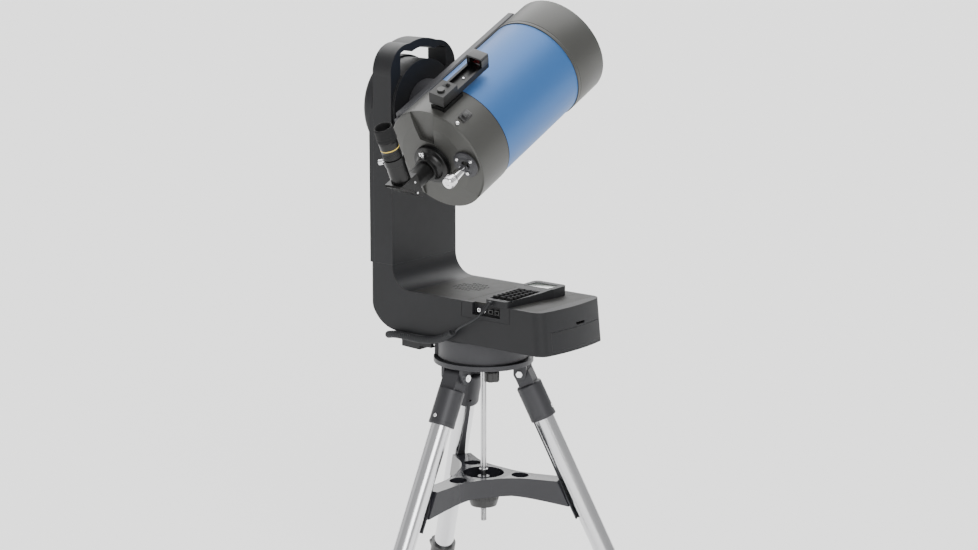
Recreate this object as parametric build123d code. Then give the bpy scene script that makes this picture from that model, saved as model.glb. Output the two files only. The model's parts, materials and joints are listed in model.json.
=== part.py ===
from build123d import *
from math import atan2, cos, degrees, pi, radians, sin, sqrt, tan
import os

# Schmidt-Cassegrain telescope on a computerised single-arm mount and tripod.
# Millimetres, +Z up. Everything is modelled about the azimuth axis, with z = 0
# a little under the base, and moved at export so that the origin lies on the
# floor in the middle of the object's box.

# ---------------------------------------------------------------- base and arm
BASE_BOTTOM = 7.0
BASE_TOP = 100.0
BASE_HALF_W = 108.5
FRONT_X = 244.0             # front corners of the base at floor level
FRONT_BULGE = 12.0          # how far the front stands out at its middle
FRONT_DRAFT = 0.10          # lean of the front face, per mm of height
BACK_X = -231.6             # outer face of the arm
ARM_IN_X = -167.7           # inner face of the arm
ARM_SEAM_X = -219.6         # seam between arm housing and outer cover
ARM_SEAM_Z = 151.0          # seam between base and arm housing
HEEL_R = 78.0               # rounding under the arm
THROAT_R = 50.0             # fillet from arm to base top
WALL = 4.0

ALT_Z = 488.3               # altitude axis
HANDLE_TOP = 636.0
SHOULDER_Z = 560.0          # where the arm's sides turn into the handle
HANDLE_BAR = 18.0
BOSS_R = 103.0              # round boss on the arm's inner face
BOSS_T = 5.0
ALT_WHEEL_R = 72.0
AZ_WHEEL_R = 60.0
WORM_R = 9.0
WORM_ROOM = 0.6             # between worm and wheel, so that they turn freely
DRIVE_X = -194.0            # altitude wheel and worm
BULGE_R = 108.0             # altitude drive bulge on the outer cover
BULGE_X = -253.0

# ---------------------------------------------------------------- tripod
HEAD_R = 109.0
HEAD_TOP = -45.0
HEAD_BOTTOM = -56.0
DRUM_R = 99.5
ROD_R = 6.35
ROD_END = -420.0
TRIPOD_TURN = -3.75
LEG_AZIMUTHS = [270.0, 30.0, 150.0]
LEG_PIVOT_R = 87.0
LEG_PIVOT_Z = -75.0
LEG_TILT = 25.0
LEG_R = 22.225
LEG_WALL = 1.6
LEG_LENGTH = 720.0          # pivot to floor along the leg, closed
RUNNER_T = 3.0
TRAY_TOP = -310.0

# ---------------------------------------------------------------- placement
AXIS_X = -13.0              # azimuth axis, from the middle of the object's box
AXIS_Y = 59.0
FLOOR_Z = LEG_PIVOT_Z - LEG_LENGTH * cos(radians(LEG_TILT))
PLACE = Pos(AXIS_X, AXIS_Y, -FLOOR_Z)

# ---------------------------------------------------------------- optical tube
TUBE_X = 10.2               # optical axis, from the azimuth axis
ALTITUDE = 25.5             # rest altitude of the tube, degrees
TUBE_R = 115.5
CELL_R = 117.6
REAR_END = -185.0           # places along the optical axis, from the altitude axis
REAR_SEAM = -89.3
FRONT_SEAM = 177.1
FRONT_END = 275.7
RAIL_IN = 120.2             # rail's inner face, from the optical axis
RAIL_T = 20.0
RAIL_HALF_H = 62.0
RAIL_BACK = -122.0
RAIL_FRONT = 300.0
FOCUS_SIDE = -86.0          # focus knob, on the side away from the arm
FOCUS_SHAFT_END = -160.0
DIAGONAL_AT = -300.0        # where the eyepiece axis crosses the optical axis
EYEPIECE_R = 15.875

RUN = 0.08                  # radial clearance of a running fit

TUBE_FRAME = Plane(
    origin=(TUBE_X, 0, ALT_Z),
    x_dir=(-1, 0, 0),
    z_dir=(0, cos(radians(ALTITUDE)), sin(radians(ALTITUDE))),
).location

nodes = {}


def save(name, *solids, at=None):
    """Keep solids as one node, moved from their own frame to the telescope's."""
    parts = []
    for item in solids:
        for solid in item.solids():
            parts.append((PLACE * at * solid) if at else (PLACE * solid))
    nodes[name] = parts[0] if len(parts) == 1 else Compound(children=parts)


def rod(r, z0, z1):
    return Pos(0, 0, (z0 + z1) / 2) * Cylinder(r, abs(z1 - z0))


def ring(r_out, r_in, z0, z1):
    return rod(r_out, z0, z1) - rod(r_in, min(z0, z1) - 1, max(z0, z1) + 1)


def rod_x(r, x0, x1, y=0.0, z=0.0):
    return Pos((x0 + x1) / 2, y, z) * Rot(0, 90, 0) * Cylinder(r, abs(x1 - x0))


def rod_y(r, y0, y1, x=0.0, z=0.0):
    return Pos(x, (y0 + y1) / 2, z) * Rot(90, 0, 0) * Cylinder(r, abs(y1 - y0))


def block(x0, x1, y0, y1, z0, z1):
    return Pos((x0 + x1) / 2, (y0 + y1) / 2, (z0 + z1) / 2) * Box(abs(x1 - x0), abs(y1 - y0), abs(z1 - z0))


def turned(points):
    """A solid of revolution about Z from (radius, z) points."""
    outline = Polyline(*[(r, 0, z) for r, z in points], close=True)
    return revolve(make_face(outline), axis=Axis.Z, revolution_arc=360)


def gear(r, z0, z1, teeth, tooth_h, bore):
    """A spur-like wheel: a ring with straight teeth."""
    wheel = rod(r - tooth_h, z0, z1)
    pitch = 2 * pi * r / teeth
    tooth = Pos(r - tooth_h, 0, (z0 + z1) / 2) * Box(2 * tooth_h, pitch * 0.45, z1 - z0)
    wheel = wheel + [Rot(0, 0, 360 * i / teeth) * tooth for i in range(teeth)]
    return wheel - rod(bore, z0 - 1, z1 + 1)


def worm_and_motor(r, length, motor_r, motor_length, shaft_r):
    """A worm on its shaft with its motor, along Z, worm centred at z = 0."""
    half = length / 2
    worm = rod(r, -half, half)
    groove = ring(r + 1, r - 1.6, -0.8, 0.8)
    count = int(length // 4)
    worm = worm - [Pos(0, 0, (i - (count - 1) / 2) * 4) * groove for i in range(count)]
    shaft = rod(shaft_r, -half - 12, half + 14)
    motor = rod(motor_r, half + 14, half + 14 + motor_length)
    return worm + shaft + motor


# ---------------------------------------------------------------- tripod
def make_head():
    plate = rod(HEAD_R, HEAD_BOTTOM, HEAD_TOP)
    plate = fillet(plate.edges().group_by(Axis.Z)[0], 4)
    seat = rod(96.0, HEAD_TOP, HEAD_TOP + 3) - rod(88.0, HEAD_TOP - 1, HEAD_TOP + 4)
    rib = ring(70, 62, HEAD_BOTTOM - 6, HEAD_BOTTOM)
    head = plate + seat + rib + rod(22, HEAD_BOTTOM - 10, HEAD_BOTTOM)
    ear_r = 14.0
    for azimuth in LEG_AZIMUTHS:
        for side in (-1, 1):
            y0, y1 = side * 22.5, side * 31.0
            root = block(LEG_PIVOT_R - ear_r, LEG_PIVOT_R + ear_r, y0, y1, LEG_PIVOT_Z, HEAD_BOTTOM)
            eye = rod_y(ear_r, y0, y1, LEG_PIVOT_R, LEG_PIVOT_Z)
            ear = root + eye - rod_y(4.05, -40, 40, LEG_PIVOT_R, LEG_PIVOT_Z)
            head = head + Rot(0, 0, azimuth + TRIPOD_TURN) * ear
        relief = block(68, LEG_PIVOT_R + 22, -22.2, 22.2, LEG_PIVOT_Z, HEAD_BOTTOM - 0.01)
        head = head - Rot(0, 0, azimuth + TRIPOD_TURN) * relief
    head = head - rod(ROD_R + 0.1, HEAD_BOTTOM - 20, 0)
    for i in range(3):
        hole = Pos(60, 0, 0) * rod(4.3, HEAD_BOTTOM - 20, 0)
        head = head - Rot(0, 0, 330 + 120 * i + TRIPOD_TURN) * hole
    save("tripod_head", head)


def make_pivot_bolts():
    bolts = []
    for azimuth in LEG_AZIMUTHS:
        shaft = rod_y(4.0, -35, 31.0, LEG_PIVOT_R, LEG_PIVOT_Z)
        head = rod_y(7.6, 31.0, 36.5, LEG_PIVOT_R, LEG_PIVOT_Z)
        head = head - block(LEG_PIVOT_R - 5, LEG_PIVOT_R + 5, 35, 40, LEG_PIVOT_Z - 0.9, LEG_PIVOT_Z + 0.9)
        hexagon = extrude(RegularPolygon(7.5, 6), 3, both=True)
        nut = Pos(LEG_PIVOT_R, -34.0, LEG_PIVOT_Z) * Rot(90, 0, 0) * hexagon
        bolts.append(Rot(0, 0, azimuth + TRIPOD_TURN) * (shaft + head + nut))
    save("leg_pivot_bolts", *bolts)


def make_rod_and_knobs():
    shaft = rod(ROD_R, ROD_END, -12.0)
    shaft = chamfer(shaft.edges().group_by(Axis.Z)[0], 1.2)
    save("centre_rod", shaft + rod(9.5, TRAY_TOP + 6, TRAY_TOP + 9))
    knob = rod(16.5, -88, -68) - [Rot(0, 0, 60 * i) * Pos(19.5, 0, 0) * rod(5.5, -90, -60) for i in range(6)]
    knob = knob + rod(10, -68, -66.5) + rod(4.0, -66.5, -22)
    for i in range(3):
        save(f"clamp_knob_{i + 1}", knob, at=Rot(0, 0, 330 + 120 * i + TRIPOD_TURN) * Pos(60, 0, 0))


def leg_inner_radius(z):
    """Distance from the centre line to the inner face of a leg's runner."""
    axis_r = LEG_PIVOT_R + (LEG_PIVOT_Z - z) * tan(radians(LEG_TILT))
    return axis_r - (LEG_R + RUNNER_T) / cos(radians(LEG_TILT))


def make_spreader():
    arm_top, arm_low = TRAY_TOP - 4, TRAY_TOP - 60
    hub_low = TRAY_TOP - 41
    room = 0.45
    side = Polyline(
        (0, 0, TRAY_TOP),
        (60, 0, TRAY_TOP),
        (leg_inner_radius(arm_top) - room, 0, arm_top),
        (leg_inner_radius(arm_low) - room, 0, arm_low),
        (150, 0, arm_low + 8),
        (75, 0, hub_low),
        (0, 0, hub_low),
        close=True,
    )
    bowl = revolve(make_face(side), axis=Axis.Z, revolution_arc=360)
    hub_x, hub_y = 58 * cos(pi / 3), 58 * sin(pi / 3)
    plan = Circle(50)
    for azimuth in LEG_AZIMUTHS:
        flare_in = ThreePointArc((hub_x, -hub_y), (66, -31), (118, -22))
        flare_out = ThreePointArc((118, 22), (66, 31), (hub_x, hub_y))
        end = Polyline((118, -22), (250, -20), (250, 20), (118, 22))
        root = Polyline((hub_x, hub_y), (0, 0), (hub_x, -hub_y))
        plan = plan + Rot(0, 0, azimuth + TRIPOD_TURN) * make_face(flare_in + end + flare_out + root)
    tray = bowl & (Pos(0, 0, TRAY_TOP - 80) * extrude(plan, 90))
    tray = tray - rod(45, TRAY_TOP - 20, TRAY_TOP + 1)
    tray = tray + rod(13, TRAY_TOP - 20, TRAY_TOP - 8) - rod(ROD_R + 0.25, TRAY_TOP - 80, TRAY_TOP + 5)
    for azimuth in LEG_AZIMUTHS:
        hole = Pos(82, 0, 0) * rod(19.0, TRAY_TOP - 90, TRAY_TOP + 1)
        hollow = block(108, 158, -17, 17, TRAY_TOP - 90, TRAY_TOP - 9)
        tray = tray - Rot(0, 0, azimuth + TRIPOD_TURN) * (hole + hollow)
    save("spreader_tray", tray)
    top = hub_low - 0.3
    knob = turned([(ROD_R + 0.1, top), (34, top), (34, top - 16), (29, top - 32), (ROD_R + 0.1, top - 32)])
    grip = [Rot(0, 0, 15 * i) * Pos(35.6, 0, top - 20) * Cylinder(2.6, 60) for i in range(24)]
    save("tension_knob", knob - grip)


def make_leg(index, azimuth):
    """One leg in its own frame: pivot at the origin, leg down -Z, +X outwards."""
    at = Rot(0, 0, azimuth + TRIPOD_TURN) * Pos(LEG_PIVOT_R, 0, LEG_PIVOT_Z) * Rot(0, -LEG_TILT, 0)
    tongue = block(-16, 18, -21.5, 21.5, -40, 0) + rod_y(16, -21.5, 21.5)
    socket = rod(28.5, -112, -30)
    socket = fillet(socket.edges().group_by(Axis.Z)[-1], 5)
    casting = tongue + socket - rod(LEG_R, -113, -44) - rod_y(4.25, -30, 30)
    casting = casting - Rot(0, 90, 0) * Pos(95, 0, 0) * Cylinder(3, 80)
    strip = Polyline((-113, -4), (-200, -5), (-262, -9), (-292, -17), (-345, -17),
                     (-345, 17), (-292, 17), (-262, 9), (-200, 5), (-113, 4), close=True)
    runner = Pos(-LEG_R, 0, 0) * Rot(0, -90, 0) * extrude(make_face(strip), RUNNER_T)
    save(f"leg_casting_{index}", casting, runner, at=at)

    tube = ring(LEG_R, LEG_R - LEG_WALL, -575, -46)
    save(f"leg_tube_{index}", tube, at=at)

    collar = rod(28, -612, -545) - rod(LEG_R, -575, -540) - rod(19.3, -620, -540)
    collar = collar + (block(20, 38, -12, 12, -600, -576) - rod(24, -620, -540)) - rod_x(4.2, 18, 45, 0, -588)
    save(f"leg_collar_{index}", collar, at=at)

    grip = rod_x(16, 38.4, 54, 0, -588)
    lobes = [Pos(0, 0, -588) * Rot(60 * i, 0, 0) * rod_x(5, 36, 60, 0, 18.5) for i in range(6)]
    lock = grip - lobes + rod_x(4.1, 20.5, 38.4, 0, -588)
    save(f"leg_lock_{index}", lock, at=at)

    low = ring(19.05, 17.4, -694, -190)
    foot_top = -LEG_LENGTH + 52
    shoe = ring(24, 19.05, foot_top, foot_top - 26) + rod(24, foot_top - 26, -LEG_LENGTH - 30)
    sole = Rot(0, LEG_TILT, 0) * block(-60, 60, -60, 60, 0, -90)
    shoe = shoe - Pos(0, 0, -LEG_LENGTH) * sole
    save(f"leg_extension_{index}", low, shoe, at=at)


# ---------------------------------------------------------------- azimuth drive
def make_drum():
    body = rod(DRUM_R, HEAD_TOP + 3, 4) - rod(DRUM_R - 6, HEAD_TOP + 11, -4)
    body = fillet(body.edges().group_by(Axis.Z)[-1], 2) + rod(23, HEAD_TOP + 3, 43)
    body = body - rod(ROD_R, HEAD_TOP, -12)
    for i in range(3):
        hole = Pos(60, 0, 0) * rod(4.3, HEAD_TOP, HEAD_TOP + 30)
        body = body - Rot(0, 0, 330 + 120 * i + TRIPOD_TURN) * hole
    clip = Rot(0, 0, 219) * block(DRUM_R - 3, DRUM_R + 7, -5, 5, HEAD_TOP + 4, -12)
    save("drive_drum", body + clip)
    save("azimuth_bearing", ring(76, 60, 4, BASE_BOTTOM - 0.05))
    save("azimuth_wheel", gear(AZ_WHEEL_R, 26, 34, 72, 1.8, 23.0))


# ---------------------------------------------------------------- base
def base_plan(half_w, front):
    corner = Polyline((BACK_X, -half_w), (front, -half_w))
    bulge = ThreePointArc((front, -half_w), (front + FRONT_BULGE, 0), (front, half_w))
    back = Polyline((front, half_w), (BACK_X, half_w), (BACK_X, -half_w))
    face = make_face(corner + bulge + back)
    front_corners = face.vertices().group_by(Axis.X)[-1]
    face = fillet(front_corners, 24)
    return fillet(face.vertices().group_by(Axis.X)[0], 10)


def base_solid():
    """The outer shape of the base with the foot of the arm."""
    low = Pos(0, 0, BASE_BOTTOM) * base_plan(BASE_HALF_W, FRONT_X)
    rise = ARM_SEAM_Z - BASE_BOTTOM
    high = Pos(0, 0, ARM_SEAM_Z) * base_plan(BASE_HALF_W - 1.0, FRONT_X - FRONT_DRAFT * rise)
    mass = loft([low, high], ruled=True)
    outline = Polyline(
        (BACK_X, 0, BASE_BOTTOM), (300, 0, BASE_BOTTOM), (300, 0, BASE_TOP),
        (ARM_IN_X, 0, BASE_TOP), (ARM_IN_X, 0, ARM_SEAM_Z), (BACK_X, 0, ARM_SEAM_Z), close=True,
    )
    profile = make_face(outline)
    heel = [v for v in profile.vertices() if v.X < BACK_X + 1 and v.Z < BASE_BOTTOM + 1]
    profile = fillet(heel, HEEL_R)
    throat = [v for v in profile.vertices() if abs(v.X - ARM_IN_X) < 1 and abs(v.Z - BASE_TOP) < 1]
    profile = fillet(throat, THROAT_R)
    return mass & extrude(profile, 130, both=True)


def in_plan(x0, x1, y0, y1, z0, z1, r):
    """A block with rounded upright corners."""
    plan = Pos((x0 + x1) / 2, (y0 + y1) / 2) * RectangleRounded(x1 - x0, y1 - y0, r)
    return Pos(0, 0, z0) * extrude(plan, z1 - z0)


COVER_X0, COVER_X1 = -112.0, 222.0
COVER_HALF_W = 98.0
COVER_T = 4.0
DOOR = dict(x0=214, x1=300, y0=-77, y1=92, z0=14, z1=55)
SPEAKER_AT = (-42.0, 10.0)
PORT = dict(x0=57, x1=132, z0=74, back=-97.0)


def make_base():
    outer = base_solid()
    inner_half_w = BASE_HALF_W - WALL
    cavity = in_plan(-150, 228, -inner_half_w, inner_half_w, BASE_BOTTOM + WALL, BASE_TOP - COVER_T, 18)
    foot = block(BACK_X + 10, ARM_IN_X - 4, -BASE_HALF_W + 8, BASE_HALF_W - 8, 96, ARM_SEAM_Z + 1)
    seat = in_plan(COVER_X0, COVER_X1, -COVER_HALF_W, COVER_HALF_W, BASE_TOP - COVER_T, BASE_TOP + 1, 10)
    door = block(DOOR["x0"], DOOR["x1"], DOOR["y0"], DOOR["y1"], DOOR["z0"], DOOR["z1"])
    skin = (outer & door) - Pos(-3, 0, 0) * outer
    room = 0.35
    swing_room = 1.0        # the door's top edge rises a little as it opens
    door_room = block(222, 300, DOOR["y0"] - room, DOOR["y1"] + room,
                      DOOR["z0"] - room, DOOR["z1"] + swing_room)
    housing = outer - cavity - foot - seat - door_room
    housing = housing - rod(28, 0, 60)
    port_box = block(PORT["x0"] - WALL, PORT["x1"] + WALL, 2.5 - BASE_HALF_W, PORT["back"] + WALL,
                     PORT["z0"] - WALL, BASE_TOP - COVER_T)
    housing = housing + port_box - block(PORT["x0"], PORT["x1"], -130, PORT["back"], PORT["z0"], BASE_TOP + 1)
    slot = block(225, 300, 2, 32, 59, 65)
    housing = housing - slot
    housing = housing - in_plan(146, 226, -76, 90, 13, 56, 4)
    for x, y in ((-192, -70), (-192, 70)):
        housing = housing - Pos(x, y, 0) * rod(3, 90, ARM_SEAM_Z + 1)
    lobe = Polyline((-206, -34), (-112, -44), (-112, 32), (-206, 26), close=True)
    lobe = Pos(0, 0, -48) * extrude(make_face(lobe), 62)
    lobe = lobe - block(-150, -100, -60, 60, -60, -38) - rod(HEAD_R + 4, -60, 5)
    save("base_housing", housing + lobe)

    cover = in_plan(COVER_X0 + 0.15, COVER_X1 - 0.15, -COVER_HALF_W + 0.15, COVER_HALF_W - 0.15,
                    BASE_TOP - COVER_T, BASE_TOP, 9.85)
    for i in range(9):
        for j in range(5):
            dx, dy = (i - 4) * 8.5, (j - 2) * 15.0
            if sqrt(dx ** 2 + dy ** 2) < 38:
                cover = cover - Pos(SPEAKER_AT[0] + dx, SPEAKER_AT[1] + dy, BASE_TOP) * Box(3, 11, 20)
    cover = cover - Pos(35, 0, BASE_TOP) * Box(1, 250, 1.2) - Pos(176, 0, BASE_TOP) * Box(1, 250, 1.2)
    save("base_top_cover", cover)

    save("battery_door", skin)

    cells = []
    for row in range(2):
        for column in range(4):
            y0 = DOOR["y0"] + 6 + column * 39.5
            cells.append(rod_y(8.8, y0, y0 + 38, 163 + row * 20, 25))
            cells.append(rod_y(8.8, y0, y0 + 38, 163 + row * 20, 44))
    tray = block(148, 210, DOOR["y0"] + 2, DOOR["y1"] - 2, 13.0, 15.5)
    save("battery_pack", tray, *cells)

    board = block(-100, 40, -88, 88, 58, 59.6)
    chips = [block(x, x + 14, y, y + 18, 59.6, 62.4) for x in (-85, -50, -15) for y in (-70, -10, 45)]
    save("circuit_board", board + chips)
    horn = turned([(0, 70), (20, 70), (22, 78), (39, 91), (39, 95.5), (34, 95.5), (34, 92), (14, 80), (0, 80)])
    save("speaker", horn, at=Pos(SPEAKER_AT[0], SPEAKER_AT[1], 0))

    sockets = []
    for x in (70, 84):
        sockets.append(rod_y(4.5, -101, -97, x, 84) - rod_y(2.2, -102, -98, x, 84))
    for x in (96, 113):
        sockets.append(block(x, x + 12, -102, -97, 79, 89) - block(x + 2, x + 10, -103, -99, 81, 87))
    save("port_sockets", *sockets)

    drive = worm_and_motor(WORM_R, 30, 15, 44, 3)
    worm_x = AZ_WHEEL_R + WORM_R + WORM_ROOM
    save("azimuth_worm", drive, at=Pos(worm_x, -4, 30) * Rot(-90, 0, 0))


# ---------------------------------------------------------------- arm
def arm_outline(shrink=0.0):
    """The arm's face in the YZ plane: straight sides under an arched top."""
    half = BASE_HALF_W - 1.0 - shrink
    top = HANDLE_TOP - shrink
    sides = Polyline((0, half, SHOULDER_Z), (0, half, ARM_SEAM_Z),
                     (0, -half, ARM_SEAM_Z), (0, -half, SHOULDER_Z))
    near = ThreePointArc((0, -half, SHOULDER_Z), (0, -half * 0.86, SHOULDER_Z + 48), (0, -half * 0.42, top - 8))
    crown = ThreePointArc((0, -half * 0.42, top - 8), (0, 0, top), (0, half * 0.42, top - 8))
    far = ThreePointArc((0, half * 0.42, top - 8), (0, half * 0.86, SHOULDER_Z + 48), (0, half, SHOULDER_Z))
    return make_face(sides + near + crown + far)


def handle_window():
    """The hand gap: inside the arch, above the round of the altitude drive."""
    inside = Pos(-300, 0, 0) * extrude(arm_outline(HANDLE_BAR), 150, dir=(1, 0, 0))
    upper = block(-300, -150, -76, 76, 562, 700)
    return (inside & upper) - rod_x(BOSS_R, -310, -140, 0, ALT_Z)


def make_arm():
    face = arm_outline()
    body = Pos(ARM_SEAM_X, 0, 0) * extrude(face, ARM_IN_X - ARM_SEAM_X, dir=(1, 0, 0))
    body = body + rod_x(BOSS_R, ARM_IN_X, ARM_IN_X + BOSS_T, 0, ALT_Z)
    body = body - handle_window()
    half = BASE_HALF_W - 1.0
    hollow = block(ARM_SEAM_X - 1, ARM_IN_X - WALL, -half + WALL, half - WALL, ARM_SEAM_Z + WALL, 470)
    hollow = hollow + rod_x(96, ARM_SEAM_X - 1, ARM_IN_X - WALL, 0, ALT_Z)
    body = body - hollow - rod_x(20 + RUN, -240, -140, 0, ALT_Z)
    neck = rod_x(30, ARM_IN_X - 16, ARM_IN_X - WALL, 0, ALT_Z) - rod_x(20 + RUN, -240, -140, 0, ALT_Z)
    save("arm_housing", body + neck)

    cover_t = ARM_SEAM_X - BACK_X
    low = block(BACK_X, ARM_SEAM_X, -half, half, ARM_SEAM_Z, ALT_Z)
    round_top = rod_x(BULGE_R - 1, BACK_X, ARM_SEAM_X, 0, ALT_Z)
    slab = low + round_top
    bulge = rod_x(BULGE_R, BULGE_X, ARM_SEAM_X - 4, 0, ALT_Z)
    bulge = fillet(bulge.edges().group_by(Axis.X)[0], 14)
    cover = slab + bulge
    cover = cover - rod_x(94, BULGE_X + WALL, ARM_SEAM_X + 1, 0, ALT_Z)
    cover = cover - block(BACK_X + WALL, ARM_SEAM_X + 1, -half + 8, half - 8, ARM_SEAM_Z + 8, ALT_Z)
    save("arm_outer_cover", cover)

    drive = worm_and_motor(WORM_R, 30, 15, 46, 3)
    worm_z = ALT_Z - ALT_WHEEL_R - WORM_R - WORM_ROOM
    save("altitude_worm", drive, at=Pos(DRIVE_X, 0, worm_z) * Rot(90, 0, 0))


def make_altitude_hub():
    face = ARM_IN_X + BOSS_T + 0.6
    rail_back = TUBE_X - RAIL_IN - RAIL_T
    disc = rod_x(60, face, rail_back, 0, ALT_Z)
    disc = chamfer(disc.edges().group_by(Axis.X)[0], 2)
    shaft = rod_x(20, -216, face, 0, ALT_Z)
    wheel = Pos(DRIVE_X, 0, ALT_Z) * Rot(0, 90, 0) * gear(ALT_WHEEL_R, -4, 4, 90, 1.8, 19.9)
    save("altitude_hub", disc + shaft + wheel)


# ---------------------------------------------------------------- optical tube
def make_tube():
    save("optical_tube", ring(TUBE_R, TUBE_R - 2, REAR_SEAM - 8, FRONT_SEAM + 8), at=TUBE_FRAME)

    cell = turned([
        (CELL_R - 0.6, FRONT_SEAM), (CELL_R, FRONT_SEAM + 1), (CELL_R, FRONT_END - 2), (CELL_R - 2, FRONT_END),
        (110, FRONT_END), (108, FRONT_END - 34), (105, FRONT_END - 34), (105, FRONT_END - 40.1),
        (100, FRONT_END - 40.1), (100, FRONT_SEAM + 8), (TUBE_R, FRONT_SEAM + 8), (TUBE_R, FRONT_SEAM),
    ])
    save("front_cell", cell, at=TUBE_FRAME)

    glass_z = FRONT_END - 40.1
    save("corrector_plate", ring(104.9, 34, glass_z, glass_z + 5), at=TUBE_FRAME)
    holder = turned([(0, glass_z - 22), (31, glass_z - 22), (31, glass_z - 0.05), (33.9, glass_z - 0.05),
                     (33.9, glass_z + 5.05), (40, glass_z + 5.05), (40, glass_z + 10), (36, glass_z + 16),
                     (0, glass_z + 16)])
    holder = holder + ring(38, 31, glass_z - 4, glass_z - 0.05)
    save("secondary_mirror", holder, at=TUBE_FRAME)


def make_rear_cell():
    cell = turned([
        (CELL_R - 0.6, REAR_SEAM), (CELL_R, REAR_SEAM - 1), (CELL_R, REAR_END + 3), (CELL_R - 3, REAR_END),
        (84, REAR_END - 6), (44, REAR_END - 8), (22.0, REAR_END - 8), (22.0, REAR_END + 8), (108, REAR_END + 8),
        (108, REAR_SEAM - 8), (TUBE_R, REAR_SEAM - 8), (TUBE_R, REAR_SEAM),
    ])
    scoop = Polyline((-32, 122), (36, 128), (20, 52), (-16, 44), close=True)
    cell = cell - Pos(0, 0, REAR_END - 10) * extrude(make_face(scoop), 13)
    foot = Polyline((60, 60), (-40, 60), (-116, -20), (-110, -60), (-20, -118), (80, -118), close=True)
    ledge = Pos(0, 0, REAR_END - 9) * (extrude(make_face(foot), 12) & rod(CELL_R + 1, -1, 13))
    low = Pos(0, -100, 0) * ledge
    cell = cell - low
    seat_z = REAR_END - 7.4
    cell = cell - Pos(FOCUS_SIDE, 4, 0) * rod(30, seat_z, seat_z - 10)
    cell = cell - Pos(FOCUS_SIDE, 0, 0) * rod(3.3, REAR_END - 12, REAR_END + 12)
    save("rear_cell", cell, at=TUBE_FRAME)


def make_mirror():
    outer, hole = 101.6, 27.0
    focal = 812.0
    sag = focal * 2 - sqrt((focal * 2) ** 2 - outer ** 2)
    front = -130.0
    rim = Polyline((hole, 0, front - 22), (outer, 0, front - 22), (outer, 0, front))
    dish = ThreePointArc((outer, 0, front), ((outer + hole) / 2, 0, front - sag * 0.65), (hole, 0, front - sag))
    back = Line((hole, 0, front - sag), (hole, 0, front - 22))
    mirror = revolve(make_face(rim + dish + back), axis=Axis.Z, revolution_arc=360)
    save("primary_mirror", mirror, at=TUBE_FRAME)

    back_z = front - 22
    sleeve = ring(26.5, 22 + RUN, back_z - 7, -118)
    flange = ring(46, 22 + RUN, back_z - 7, back_z)
    lug = block(FOCUS_SIDE - 9, -40, -9, 9, back_z - 7, back_z)
    nut = Pos(FOCUS_SIDE, 0, 0) * rod(6.5, back_z - 17, back_z - 6)
    carrier = sleeve + flange + lug + nut - Pos(FOCUS_SIDE, 0, 0) * rod(3.4, back_z - 20, back_z + 2)
    save("mirror_carrier", carrier, at=TUBE_FRAME)
    save("baffle_tube", ring(22, 20.4, REAR_END - 8, -10), at=TUBE_FRAME)


def make_focuser():
    seat_z = REAR_END - 7.4
    plate = Pos(FOCUS_SIDE, 4, 0) * (rod(29.6, seat_z - 4, seat_z))
    plate = plate - Pos(FOCUS_SIDE, 0, 0) * rod(5.5, seat_z - 9, seat_z + 1)
    screws = []
    for angle in (35, 150, 270):
        place = Pos(FOCUS_SIDE, 4, 0) * Rot(0, 0, angle) * Pos(21, 0, seat_z - 4)
        head = rod(4.0, -2.4, 0) - Box(6, 1.1, 1.6).moved(Pos(0, 0, -2.4))
        screws.append(place * head)
    save("focus_plate", plate, *screws, at=TUBE_FRAME)

    z = seat_z - 4.4
    knob = turned([(0, FOCUS_SHAFT_END), (3.1, FOCUS_SHAFT_END), (3.1, z), (7.5, z), (8.5, z - 8),
                   (10, z - 14), (11, z - 40), (13.4, z - 46), (13.4, z - 62), (12, z - 65), (0, z - 65)])
    flutes = [Rot(0, 0, 30 * i) * Pos(13.6, 0, z - 54) * Cylinder(1.3, 24) for i in range(12)]
    save("focus_knob", knob - flutes, at=TUBE_FRAME * Pos(FOCUS_SIDE, 0, 0))


def make_visual_back():
    z = REAR_END - 8.2
    back = turned([(EYEPIECE_R + RUN, z), (42, z), (43.5, z - 3), (43.5, z - 13), (40, z - 15), (33, z - 16),
                   (31, z - 20), (27, z - 24), (26, z - 34), (EYEPIECE_R + RUN, z - 34)])
    knurls = [Rot(0, 0, 10 * i) * Pos(44.2, 0, z - 8) * Cylinder(1.4, 9) for i in range(36)]
    back = back - knurls + Pos(0, 0, z - 28) * rod_y(3, 24, 33) + Pos(0, 0, z - 28) * rod_y(5.5, 33, 42)
    save("visual_back", back - rod(EYEPIECE_R + RUN, z - 40, z + 1), at=TUBE_FRAME)


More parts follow.
